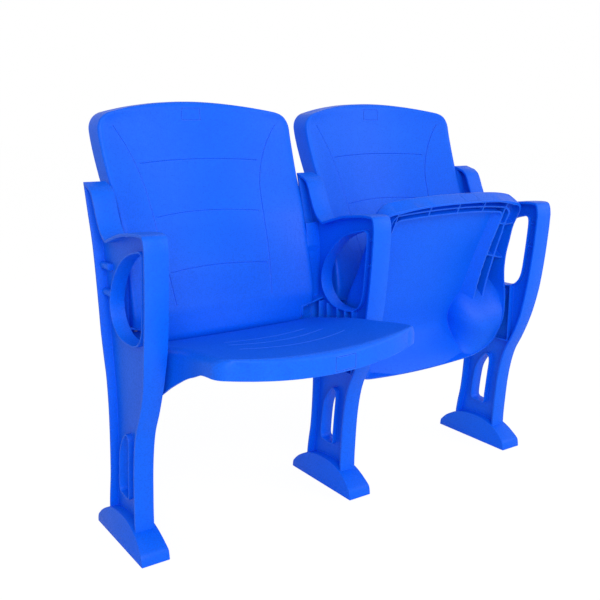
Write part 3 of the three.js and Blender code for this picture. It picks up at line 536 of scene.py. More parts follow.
    def whole(self) -> "Solid":
        """The solid's largest part, without slivers that a cut left loose.

        Returns:
            The largest part.
        """
        shape = bmesh.new()
        shape.from_mesh(self.mesh)
        rest = set(shape.faces)
        parts: list[list[bmesh.types.BMFace]] = []
        while rest:
            part = [rest.pop()]
            for face in part:
                for edge in face.edges:
                    for near in edge.link_faces:
                        if near in rest:
                            rest.remove(near)
                            part.append(near)
            parts.append(part)
        loose = [face for part in sorted(parts, key=len)[:-1] for face in part]
        bmesh.ops.delete(shape, geom=loose, context="FACES")
        return Solid.from_shape(shape)

    def placed(self, matrix: Matrix) -> "Solid":
        """A moved or turned copy.

        Args:
            matrix: the move or turn.

        Returns:
            The copy.
        """
        mesh = self.mesh.copy()
        mesh.transform(matrix)
        return Solid(mesh)

    def moved(self, x: float = 0.0, y: float = 0.0, z: float = 0.0) -> "Solid":
        """A copy moved by a distance on each axis."""
        return self.placed(Matrix.Translation((x, y, z)))


def linear(colour: str) -> Quad:
    """An sRGB hex colour as linear red, green, blue and alpha.

    Args:
        colour: such as #FFFFFF.

    Returns:
        The linear values.
    """
    channels = [int(colour[i:i + 2], 16) / 255 for i in (1, 3, 5)]
    turned = [c / 12.92 if c <= 0.04045 else ((c + 0.055) / 1.055) ** 2.4 for c in channels]
    return (turned[0], turned[1], turned[2], 1.0)


def add_node(tree: bpy.types.NodeTree, kind: str, settings: dict | None = None,
             links: dict | None = None) -> bpy.types.Node:
    """Adds a node to a tree.

    Args:
        tree: the node tree.
        kind: the node's type name.
        settings: properties by name, and values of inputs by their place or name.
        links: output sockets to join to inputs, by the input's place or name.

    Returns:
        The new node.
    """
    node = tree.nodes.new(kind)
    for name, value in (settings or {}).items():
        if isinstance(name, str) and hasattr(node, name):
            setattr(node, name, value)
        else:
            node.inputs[name].default_value = value
    for name, socket in (links or {}).items():
        tree.links.new(socket, node.inputs[name])
    return node


def new_surface(name: str) -> tuple[bpy.types.Material, bpy.types.NodeTree, bpy.types.Node, bpy.types.Node]:
    """An empty material with a shader on its output.

    Args:
        name: the material's name.

    Returns:
        The material, its tree, its shader and its Object coordinates.
    """
    material = bpy.data.materials.new(name)
    material.use_nodes = True
    tree = material.node_tree
    tree.nodes.clear()
    shader = add_node(tree, "ShaderNodeBsdfPrincipled")
    add_node(tree, "ShaderNodeOutputMaterial", links={"Surface": shader.outputs["BSDF"]})
    place = add_node(tree, "ShaderNodeTexCoord")
    return material, tree, shader, place


@dataclass(frozen=True)
class MouldedPolypropylene:
    """UV-stable polypropylene, injection moulded in a grained tool.

    Its fine grain spreads the highlight, broad patches shade a little as the colour masterbatch flowed,
    and a painted highlight, broken up by the grain, makes sharp edges and corners paler.
    """

    name: str = "blue moulded polypropylene"
    body: str = "#0065F0"
    flow: str = "#005CEA"
    speck: str = "#0040B4"
    # Colour of the painted highlight that makes sharp edges and corners paler.
    edge_highlight: str = "#6FA8FF"
    gloss: float = 0.2
    roughness: float = 0.46
    ior: float = 1.49
    patch_mm: float = 90.0
    # The tool's grain is about 0.5 mm; it is drawn at 3 mm so that it shows in the render.
    grain_mm: float = 3.0
    speck_share: float = 0.3
    speck_range: Pair = (0.42, 0.62)
    grain_depth_mm: float = 0.1
    patch_detail: float = 2.0
    grain_detail: float = 3.0
    grain_roughness: float = 0.6
    smoother: float = 0.06
    rougher: float = 0.08
    highlight_radius_mm: float = 1.6
    highlight_samples: int = 6
    # A corner gets more of the painted highlight as the cosine between its softened and its true normal falls over this
    # range.
    highlight_range: Pair = (0.9, 0.7)
    highlight_strength: float = 0.8

    def material(self) -> bpy.types.Material:
        """Builds the material.

        Returns:
            The material.
        """
        material, tree, shader, place = new_surface(self.name)
        shader.inputs["IOR"].default_value = self.ior
        shader.inputs["Specular IOR Level"].default_value = self.gloss
        spot = {"Vector": place.outputs["Object"]}
        patch = add_node(tree, "ShaderNodeTexNoise",
                         {"Scale": 1 / (self.patch_mm * MM), "Detail": self.patch_detail}, spot)
        body = add_node(tree, "ShaderNodeMix", {"data_type": "RGBA", 6: linear(self.body), 7: linear(self.flow)},
                        {0: patch.outputs["Fac"]})
        grain = add_node(tree, "ShaderNodeTexNoise",
                         {"Scale": 1 / (self.grain_mm * MM), "Detail": self.grain_detail,
                          "Roughness": self.grain_roughness}, spot).outputs["Fac"]
        low, high = self.speck_range
        dark = add_node(tree, "ShaderNodeMapRange",
                        {"From Min": low, "From Max": high, "To Min": 0.0, "To Max": self.speck_share},
                        {"Value": grain})
        grained = add_node(tree, "ShaderNodeMix", {"data_type": "RGBA", 7: linear(self.speck)},
                           {0: dark.outputs[0], 6: body.outputs[2]})
        # Painted highlight: where the softened normal leaves the true one, at sharp edges and corners, the colour is
        # painted paler, broken up by the grain.
        soft = add_node(tree, "ShaderNodeBevel", {"samples": self.highlight_samples, "Radius": self.highlight_radius_mm * MM})
        true = add_node(tree, "ShaderNodeNewGeometry")
        facing = add_node(tree, "ShaderNodeVectorMath", {"operation": "DOT_PRODUCT"},
                          {0: soft.outputs["Normal"], 1: true.outputs["Normal"]})
        low, high = self.highlight_range
        highlight_mask = add_node(tree, "ShaderNodeMapRange",
                       {"From Min": low, "From Max": high, "To Min": 0.0, "To Max": self.highlight_strength},
                       {"Value": facing.outputs["Value"]})
        painted_highlight = add_node(tree, "ShaderNodeMath", {"operation": "MULTIPLY"}, {0: highlight_mask.outputs[0], 1: grain})
        colour = add_node(tree, "ShaderNodeMix", {"data_type": "RGBA", 7: linear(self.edge_highlight)},
                          {0: painted_highlight.outputs[0], 6: grained.outputs[2]})
        low, high = NOISE_RANGE
        sheen = add_node(tree, "ShaderNodeMapRange",
                         {"From Min": low, "From Max": high, "To Min": self.roughness - self.smoother,
                          "To Max": self.roughness + self.rougher}, {"Value": grain})
        bump = add_node(tree, "ShaderNodeBump", {"Strength": 1.0, "Distance": self.grain_depth_mm * MM},
                        {"Height": grain})
        tree.links.new(colour.outputs[2], shader.inputs["Base Color"])
        tree.links.new(sheen.outputs[0], shader.inputs["Roughness"])
        tree.links.new(bump.outputs[0], shader.inputs["Normal"])
        return material


@dataclass(frozen=True)
class MottledFinish:
    """A small fitting's finish: one base colour with fine mottling, gloss variation and bump."""

    name: str
    light: str
    dark: str
    roughness: float
    spread: float
    metallic: float = 0.0
    mottle_mm: float = 4.0
    detail: float = 4.0
    depth_mm: float = 0.03
    bump_strength: float = 0.6

    def material(self) -> bpy.types.Material:
        """Builds the material.

        Returns:
            The material.
        """
        material, tree, shader, place = new_surface(self.name)
        shader.inputs["Metallic"].default_value = self.metallic
        mottle = add_node(tree, "ShaderNodeTexNoise", {"Scale": 1 / (self.mottle_mm * MM), "Detail": self.detail},
                          {"Vector": place.outputs["Object"]}).outputs["Fac"]
        colour = add_node(tree, "ShaderNodeMix", {"data_type": "RGBA", 6: linear(self.dark), 7: linear(self.light)},
                          {0: mottle})
        low, high = NOISE_RANGE
        gloss = add_node(tree, "ShaderNodeMapRange",
                         {"From Min": low, "From Max": high, "To Min": self.roughness - self.spread,
                          "To Max": self.roughness + self.spread}, {"Value": mottle})
        bump = add_node(tree, "ShaderNodeBump", {"Strength": self.bump_strength, "Distance": self.depth_mm * MM},
                        {"Height": mottle})
        tree.links.new(colour.outputs[2], shader.inputs["Base Color"])
        tree.links.new(gloss.outputs[0], shader.inputs["Roughness"])
        tree.links.new(bump.outputs[0], shader.inputs["Normal"])
        return material


@dataclass
class Finishes:
    """The row's materials, built once."""

    # Zinc-plated steel: pale, slightly blue grey with soft cloudy gloss.
    steel: MottledFinish = MottledFinish("zinc-plated steel", "#C9CCD0", "#A9ADB3", 0.36, 0.08, metallic=1.0)
    # Cast polyamide: ivory, waxy and nearly even.
    nylon: MottledFinish = MottledFinish("natural polyamide", "#ECE8DD", "#DDD8CA", 0.5, 0.05)
    # Moulded EPDM rubber: dull charcoal with a dusty bloom.
    rubber: MottledFinish = MottledFinish("black EPDM rubber", "#26272A", "#17181A", 0.82, 0.06)
    plastic: MouldedPolypropylene = MouldedPolypropylene()
    made: dict[Slot, bpy.types.Material] = field(default_factory=dict)

    def of(self, slot: Slot) -> bpy.types.Material:
        """The material of a record slot.

        Args:
            slot: the slot.

        Returns:
            Its material.
        """
        if slot not in self.made:
            source = {Slot.STEEL: self.steel, Slot.NYLON: self.nylon, Slot.RUBBER: self.rubber,
                      Slot.PLASTIC: self.plastic}
            self.made[slot] = source[slot].material()
        return self.made[slot]


class GeometryTree:
    """A geometry node tree with named inputs, ending in Realize Instances and Set Material."""

    def __init__(self, name: str) -> None:
        """Starts an empty tree that takes and gives geometry.

        Args:
            name: the tree's name.
        """
        self.tree = bpy.data.node_groups.new(name, "GeometryNodeTree")
        self.tree.interface.new_socket("Geometry", in_out="INPUT", socket_type="NodeSocketGeometry")
        self.tree.interface.new_socket("Geometry", in_out="OUTPUT", socket_type="NodeSocketGeometry")
        self.sockets: dict[str, str] = {}
        self.entry = self.tree.nodes.new("NodeGroupInput")

    def size(self, name: str, kind: str = "NodeSocketFloat") -> Socket:
        """Adds a named input and returns its socket inside the tree.

        Args:
            name: the input's name.
            kind: its socket type.

        Returns:
            The socket.
        """
        socket = self.tree.interface.new_socket(name, in_out="INPUT", socket_type=kind)
        self.sockets[name] = socket.identifier
        return self.entry.outputs[name]

    def finish(self, geometry: Socket) -> None:
        """Ends the tree: instances are made real and take their material.

        Args:
            geometry: what the tree has made.
        """
        material = self.size("Finish", "NodeSocketMaterial")
        real = add_node(self.tree, "GeometryNodeRealizeInstances", links={0: geometry})
        dressed = add_node(self.tree, "GeometryNodeSetMaterial",
                           links={"Geometry": real.outputs[0], "Material": material})
        add_node(self.tree, "NodeGroupOutput", links={0: dressed.outputs[0]})

    def run(self, points: Array, edges: Sequence[tuple[int, int]], **values: object) -> Solid:
        """Runs the tree on bare points and edges.

        Args:
            points: places in millimetres.
            edges: pairs of points that are joined.
            **values: the inputs' values, named as in the tree with underscores for spaces.

        Returns:
            The tree's result.
        """
        seed = bpy.data.meshes.new("seed")
        seed.from_pydata([tuple(p) for p in points], list(edges), [])
        carrier = bpy.data.objects.new("carrier", seed)
        modifier = carrier.modifiers.new("nodes", "NODES")
        modifier.node_group = self.tree
        for name, value in values.items():
            modifier[self.sockets[name.replace("_", " ")]] = value
        bpy.context.scene.collection.objects.link(carrier)
        made = Solid.as_modified(carrier)
        carrier.modifiers.clear()
        bpy.data.objects.remove(carrier)
        return made


def groove_tree(sides: int = 8) -> GeometryTree:
    """A round bar along each path, which cuts a groove where it runs along a surface.

    Args:
        sides: flats round the bar.

    Returns:
        The tree.
    """
    made = GeometryTree("groove along a path")
    width = made.size("Width")
    radius = add_node(made.tree, "ShaderNodeMath", {"operation": "DIVIDE", 1: 2.0}, {0: width})
    path = add_node(made.tree, "GeometryNodeMeshToCurve", links={0: made.entry.outputs["Geometry"]})
    section = add_node(made.tree, "GeometryNodeCurvePrimitiveCircle", {"Resolution": sides},
                       {"Radius": radius.outputs[0]})
    bar = add_node(made.tree, "GeometryNodeCurveToMesh", {"Fill Caps": True},
                   {"Curve": path.outputs[0], "Profile Curve": section.outputs[0]})
    made.finish(bar.outputs[0])
    return made


def cross_rib_tree() -> GeometryTree:
    """Upright ribs at an even pitch across the underside of a seat.

    Returns:
        The tree.
    """
    made = GeometryTree("cross ribs")
    count = made.size("Count", "NodeSocketInt")
    pitch, thickness, length, height = (made.size(n) for n in ("Pitch", "Thickness", "Length", "Height"))
    last = add_node(made.tree, "ShaderNodeMath", {"operation": "SUBTRACT", 1: 1.0}, {0: count})
    start = add_node(made.tree, "ShaderNodeMath", {"operation": "MULTIPLY"}, {0: last.outputs[0], 1: pitch})
    half = add_node(made.tree, "ShaderNodeMath", {"operation": "MULTIPLY", 1: -0.5}, {0: start.outputs[0]})
    first = add_node(made.tree, "ShaderNodeCombineXYZ", links={"X": half.outputs[0]})
    step = add_node(made.tree, "ShaderNodeCombineXYZ", links={"X": pitch})
    line = add_node(made.tree, "GeometryNodeMeshLine", links={"Count": count, "Start Location": first.outputs[0],
                                                             "Offset": step.outputs[0]})
    size = add_node(made.tree, "ShaderNodeCombineXYZ", links={"X": thickness, "Y": length, "Z": height})
    rib = add_node(made.tree, "GeometryNodeMeshCube", links={"Size": size.outputs[0]})
    ribs = add_node(made.tree, "GeometryNodeInstanceOnPoints",
                    links={"Points": line.outputs[0], "Instance": rib.outputs[0]})
    made.finish(ribs.outputs[0])
    return made


def screw_tree() -> GeometryTree:
    """Hexagon-headed screws with a washer, one on each point, their heads towards +Y.

    Returns:
        The tree.
    """
    made = GeometryTree("screws with washers")
    names = ("Shank Radius", "Shank Length", "Washer Radius", "Washer Thickness", "Head Radius", "Head Height", "Gap")
    shank, length, washer, thin, head, tall, gap = (made.size(n) for n in names)
    washer_sides, head_sides, dome_sides, shank_sides = 40, 6, 32, 24
    dome_radius_share, dome_height_share = 0.8, 0.2

    def total(*sockets: Socket) -> Socket:
        """The sum of some sizes.

        Args:
            *sockets: the sizes.

        Returns:
            Their sum.
        """
        whole = sockets[0]
        for other in sockets[1:]:
            whole = add_node(made.tree, "ShaderNodeMath", {"operation": "ADD"}, {0: whole, 1: other}).outputs[0]
        return whole

    def share(socket: Socket, factor: float) -> Socket:
        """A size times a factor."""
        return add_node(made.tree, "ShaderNodeMath", {"operation": "MULTIPLY", 1: factor}, {0: socket}).outputs[0]

    def disc(sides: int, radius: Socket, depth: Socket, middle: Socket) -> Socket:
        """A round or hexagonal bar centred at a height on its axis.

        Args:
            sides: flats round it.
            radius: its radius.
            depth: its length.
            middle: the height.

        Returns:
            Its geometry.
        """
        bar = add_node(made.tree, "GeometryNodeMeshCylinder", {"Vertices": sides}, {"Radius": radius, "Depth": depth})
        lift = add_node(made.tree, "ShaderNodeCombineXYZ", links={"Z": middle})
        return add_node(made.tree, "GeometryNodeTransform",
                        links={"Geometry": bar.outputs[0], "Translation": lift.outputs[0]}).outputs[0]

    plate = disc(washer_sides, washer, thin, total(gap, share(thin, 0.5)))
    hexagon = disc(head_sides, head, tall, total(gap, gap, thin, share(tall, 0.5)))
    dome = disc(dome_sides, share(head, dome_radius_share), share(tall, dome_height_share),
                total(gap, gap, thin, tall))
    stem = disc(shank_sides, shank, length, share(length, -0.5))
    whole = add_node(made.tree, "GeometryNodeJoinGeometry")
    for piece in (plate, hexagon, dome, stem):
        made.tree.links.new(piece, whole.inputs[0])
    turned = add_node(made.tree, "GeometryNodeTransform", {"Rotation": (-math.pi / 2, 0.0, 0.0)}, {0: whole.outputs[0]})
    placed = add_node(made.tree, "GeometryNodeInstanceOnPoints",
                      links={"Points": made.entry.outputs["Geometry"], "Instance": turned.outputs[0]})
    made.finish(placed.outputs[0])
    return made


@dataclass
class Workshop:
    """Puts finished solids in the row as dressed pieces."""

    finishes: Finishes
    smooth_angle: float = 34.0

    def place(self, name: str, solid: Solid, slot: Slot, body: str, nodes: Sequence[str]) -> Thing:
        """Makes a piece of the row.

        Args:
            name: the piece's name.
            solid: its shape in millimetres, in the row's frame.
            slot: the record slot that it takes its finish from.
            body: the CAD body that it moves with.
            nodes: the CAD nodes that it stands for.

        Returns:
            The piece's object, at the origin.
        """
        shape = bmesh.new()
        shape.from_mesh(solid.mesh)
        bmesh.ops.scale(shape, vec=(MM, MM, MM), verts=shape.verts)
        limit = math.radians(self.smooth_angle)
        for face in shape.faces:
            face.smooth = True
            face.material_index = 0
        for edge in shape.edges:
            edge.smooth = len(edge.link_faces) == 2 and edge.calc_face_angle() < limit
        mesh = bpy.data.meshes.new(name)
        shape.to_mesh(mesh)
        shape.free()
        mesh.materials.clear()
        mesh.materials.append(self.finishes.of(slot))
        piece = bpy.data.objects.new(name, mesh)
        bpy.context.scene.collection.objects.link(piece)
        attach(piece, body)
        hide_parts(*nodes)
        LOG.info("%s: %d faces", name, len(mesh.polygons))
        return piece


@dataclass
class Stanchion:
    """One moulded stanchion: web, flange, collars, foot, screw bosses, and a pocket and wing for each seat."""

    name: str
    x: float
    sides: tuple[int, ...]
    height: float = ROW.post_height
    reach: float = ROW.post_reach
    web: float = 6.0
    flange: float = 6.0
    arm_width: float = ROW.arm_width
    leg_width: float = 40.0
    taper: Pair = (345.0, 430.0)
    edge: float = 1.4
    rim_wall: float = 3.5
    rim_depth: float = 30.0
    foot_length: float = 232.0
    foot_width: float = 59.0
    crown_width: float = 46.0
    crown_height: float = 63.0
    lip_height: float = 18.0
    core_wall: float = 7.0
    core_end: float = 28.0
    core_height: float = 30.0
    foot_round: float = 2.2
    foot_round_angle: float = 28.0
    boss_length: float = 44.0
    front_bosses: Pair = (537.0, 592.0)
    # The hand hole's table starts with the points of its front edge.
    hole_front_points: int = 9
    pocket_rib: float = 3.0
    pocket_reach: float = 17.0
    pocket_low: float = 289.0
    pocket_high: float = 434.0
    pocket_front: float = -98.0
    pocket_back: float = 24.0
    pocket_rib_shares: Shares = (0.22, 0.45, 0.75)
    apron: float = 28.0
    wing_wall: float = 4.0
    wing_edge: float = 0.8
    stop_radius: float = 38.0
    buffer_reach: float = 21.0
    stop_wedges: tuple[Pair, ...] = ((289.15, 298.15), (172.43, 181.43))
    steps: int = 5
    front: Table = ((-0.244, 0), (-0.244, 0.083), (-0.251, 0.146), (-0.279, 0.264), (-0.332, 0.355), (-0.417, 0.424),
                    (-0.495, 0.501), (-0.555, 0.598), (-0.594, 0.702), (-0.618, 0.8), (-0.624, 0.84))
    arm: Table = ((-0.625, 0.86), (-0.612, 0.885), (-0.58, 0.896), (-0.49, 0.8965), (-0.36, 0.892), (-0.23, 0.885),
                  (-0.11, 0.873), (0.005, 0.8595), (0.03, 0.861), (0.075, 0.872), (0.117, 0.891), (0.163, 0.926),
                  (0.198, 0.958), (0.228, 0.977), (0.27, 0.989))
    rear: Table = ((0.372, 1), (0.318, 0.919), (0.269, 0.848), (0.24, 0.779), (0.212, 0.682), (0.196, 0.612),
                   (0.18, 0.529), (0.159, 0.452), (0.152, 0.376), (0.163, 0.278), (0.187, 0.181), (0.219, 0.118),
                   (0.237, 0.068), (0.237, 0))
    hand_hole: Table = ((-0.498, 0.835), (-0.496, 0.8), (-0.475, 0.715), (-0.452, 0.652), (-0.412, 0.621),
                        (-0.336, 0.603), (-0.223, 0.5985), (-0.106, 0.603), (-0.021, 0.619), (0.037, 0.645),
                        (0.058, 0.677), (0.042, 0.71), (-0.014, 0.75), (-0.095, 0.784), (-0.194, 0.8135),
                        (-0.3, 0.832), (-0.424, 0.8445), (-0.477, 0.8465))
    leg_slot: Table = ((-0.085, 0.145), (-0.1, 0.18), (-0.12, 0.25), (-0.136, 0.305), (-0.124, 0.325), (-0.092, 0.328),
                       (-0.035, 0.305), (0.014, 0.27), (0.038, 0.225), (0.055, 0.165), (0.045, 0.15), (0.01, 0.146))
    arch: Table = ((-1, 0), (-0.975, 0.28), (-0.9, 0.45), (-0.66, 0.76), (-0.36, 0.95), (-0.05, 1), (0.26, 0.96),
                   (0.54, 0.83), (0.8, 0.57), (0.94, 0.33), (0.985, 0.2), (1, 0))

    def scaled(self, table: Table) -> Array:
        """A table of shares as (y, z) in millimetres."""
        return np.array(table, float) * (self.reach, self.height)

    def outline(self) -> Array:
        """The stanchion's side outline, smoothed between its corners.

        Returns:
            The outline as (y, z).
        """
        rear = spline(self.scaled(self.rear), self.steps)
        chain = spline(np.vstack([self.scaled(self.front), self.scaled(self.arm)]), self.steps)
        return without_repeats(np.vstack([chain, rear]))

    def rear_at(self, z: float) -> float:
        """Where the rear edge stands at a height."""
        y, height = self.scaled(self.rear)[::-1].T
        return float(np.interp(z, height, y))

    def front_at(self, z: float) -> float:
        """Where the front edge stands at a height."""
        y, height = self.scaled(self.front).T
        return float(np.interp(z, height, y))

    def flange_hoop(self) -> Solid:
        """The flange all round, narrower down the leg than round the arm.

        Returns:
            The flange.
        """
        outline = self.outline()
        halves = np.interp(outline[:, 1], self.taper, (self.leg_width / 2, self.arm_width / 2))
        return Solid.hoop(outline, self.flange, halves, self.edge)

    def collar(self, hole: Array) -> Solid:
        """The rim that stands out round a hole on both sides of the web."""
        return Solid.hoop(hole, -self.rim_wall, np.full(len(hole), self.rim_depth / 2), self.edge)

    def foot(self) -> Solid:
        """The arched foot with drafted, rounded sides.

        Returns:
            The foot.
        """
        arch = spline(np.array(self.arch, float) * (self.foot_length / 2, self.crown_height), self.steps)
        block = Solid.extruded(arch, View.SIDE, -self.foot_width / 2, self.foot_width / 2)
        wide, narrow = self.foot_width / 2, self.crown_width / 2
        half = [(wide, 0), (wide, self.lip_height), (narrow, self.crown_height)]
        drafted = np.array(half + [(-x, z) for x, z in reversed(half)])
        sides = Solid.extruded(drafted, View.FRONT, -self.foot_length, self.foot_length)
        return block.keep(sides).rounded(self.foot_round, self.foot_round_angle)

    def foot_cores(self) -> list[Solid]:
        """The two cores that hollow the underside of the foot.

        Returns:
            The cutters.
        """
        half = self.foot_width / 2 - self.core_wall
        near, far = self.core_wall / 2, self.foot_length / 2 - self.core_end
        return [Solid.box((-half, half), reach_on(side, near, far), (-ROW.overrun, self.core_height))
                for side in (-1, 1)]

    def bosses(self) -> list[Solid]:
        """Screw bosses on both faces of the web.

        Returns:
            The bosses.
        """
        made = []
        hole = self.scaled(self.hand_hole)[:self.hole_front_points][::-1]
        for side in (-1, 1):
            for z in ROW.screw_heights:
                rear = self.rear_at(z) - self.flange / 2
                front = ROW.strip_rear(z) + ROW.gap if side in self.sides else rear - self.boss_length
                boss = Solid.rod(View.FRONT, ROW.boss_radius, front, rear, (side * ROW.screw_offset, z), ROW.boss_sides)
                made.append(boss.rounded(ROW.soft_round))
            for z in self.front_bosses:
                front = self.front_at(z) + self.flange / 2
                back = float(np.interp(z, hole[:, 1], hole[:, 0]))
                place = (side * ROW.screw_offset / 2, z)
                made.append(Solid.rod(View.FRONT, ROW.boss_radius / 2, front, back, place, ROW.bore_sides))
        return made

    def screw_bores(self, side: int) -> list[Solid]:
        """Bores for the back screws and the wing's screw.

        Args:
            side: -1 for the left, 1 for the right.

        Returns:
            The cutters.
        """
        radius = ROW.screw_shank + ROW.gap
        bores = []
        for z in ROW.screw_heights:
            place = (side * ROW.screw_offset, z)
            end = self.rear_at(z) + ROW.overrun
            bores.append(Solid.rod(View.FRONT, radius, ROW.strip_face(z), end, place, ROW.bore_sides))
        top = ROW.wing_top(ROW.lower_screw_x)
        place = (side * ROW.lower_screw_x, self.wing_rear() - ROW.wing_depth / 2)
        bores.append(Solid.rod(View.PLAN, radius, top - 2 * self.wing_wall, top + ROW.overrun, place, ROW.bore_sides))
        return bores

    def wing_rear(self) -> float:
        """Where the wing's rear face stands, in line with the flange."""
        return self.rear_at(ROW.wing_bottom)

    def wedge(self, side: int, start: float, end: float) -> Solid:
        """A stop on the hub, between two angles from +Y towards +Z.

        Args:
            side: -1 for the left, 1 for the right.
            start: the first angle.
            end: the last angle.

        Returns:
            The stop.
        """
        angle = np.radians(np.linspace(start, end, ROW.arc_points))
        inner = ROW.hub_radius - self.pocket_rib / 2
        arc = np.stack([np.cos(angle), np.sin(angle)], 1)
        outline = np.vstack([arc * self.stop_radius, arc[::-1] * inner]) + (ROW.pivot_y, ROW.pivot_z)
        return Solid.extruded(outline, View.SIDE, *reach_on(side, 0, self.buffer_reach), ROW.thin_round)

    def pocket(self, side: int) -> list[Solid]:
        """Walls, ribs, hub and stops of the hinge on one side.

        Args:
            side: -1 for the left, 1 for the right.

        Returns:
            The parts of the pocket.
        """
        across = reach_on(side, 0, self.pocket_reach)
        half = self.pocket_rib / 2
        front, back = self.pocket_front, self.pocket_back
        clear = ROW.pivot_z + self.stop_radius + self.pocket_rib
        walls = [((front, back), (self.pocket_low - half, self.pocket_low + half)),
                 ((front - half, front + half), (self.pocket_low - half, self.pocket_high)),
                 ((back - half, back + half), (self.pocket_low - half, self.pocket_high))]
        for share in self.pocket_rib_shares:
            y = front + (back - front) * share
            walls.append(((y - half, y + half), (clear, self.pocket_high)))
        made = [Solid.box(across, y, z, ROW.thin_round) for y, z in walls]
        made += [self.wedge(side, *span) for span in self.stop_wedges]
        hub = Solid.rod(View.SIDE, ROW.hub_radius, *reach_on(side, 0, ROW.hub_reach), (ROW.pivot_y, ROW.pivot_z))
        return made + [hub.rounded(ROW.soft_round)]

    def wing(self, side: int) -> Solid:
        """The hood that carries a back's lower corner, open to the front and below, and its apron.

        Args:
            side: -1 for the left, 1 for the right.

        Returns:
            The wing.
        """
        reach, low, wall = ROW.wing_reach, ROW.wing_bottom, self.wing_wall
        rear = self.wing_rear()
        front, foot = rear - ROW.wing_depth, low - self.apron
        inner, outer = ROW.wing_top(0), ROW.wing_top(reach)
        roof = np.array([(0, inner - wall), (reach, outer - wall), (reach, outer), (0, inner)]) * (side, 1)
        behind = np.array([(0, foot), (reach, foot), (reach, outer), (0, inner)]) * (side, 1)
        end = np.array([(front, low), (rear, foot), (rear, outer), (front, outer)])
        plates = [Solid.extruded(roof, View.FRONT, front, rear, self.wing_edge),
                  Solid.extruded(end, View.SIDE, *reach_on(side, reach - wall, reach), self.wing_edge)]
        return Solid.extruded(behind, View.FRONT, rear - wall, rear, self.wing_edge).join(*plates)

    def build(self, shop: Workshop) -> Thing:
        """Shapes the stanchion and puts it in the row.

        Args:
            shop: finishes and places the piece.

        Returns:
            The piece.
        """
        hole = spline(self.scaled(self.hand_hole), self.steps, closed=True)
        slot = spline(self.scaled(self.leg_slot), self.steps, closed=True)
        web = Solid.extruded(inset(self.outline(), self.flange / 2), View.SIDE, -self.web / 2, self.web / 2)
        holes = [Solid.extruded(inset(h, -self.rim_wall / 2), View.SIDE, -self.arm_width, self.arm_width)
                 for h in (hole, slot)]
        fittings = self.bosses()
        for side in self.sides:
            fittings += self.pocket(side) + [self.wing(side)]
        body = web.join(self.flange_hoop(), self.foot(), *fittings).cut(*holes, *self.foot_cores())
        body = body.join(self.collar(hole), self.collar(slot))
        reach = ROW.hub_reach + ROW.overrun
        span = (-reach if -1 in self.sides else 0, reach if 1 in self.sides else 0)
        cuts = [Solid.rod(View.SIDE, ROW.pin_radius + ROW.gap, *span, (ROW.pivot_y, ROW.pivot_z))]
        for side in self.sides:
            cuts += self.screw_bores(side)
        return shop.place("moulded_stanchion_" + self.name, body.cut(*cuts).moved(self.x), Slot.PLASTIC, "row",
                          ["stanchion_" + self.name])


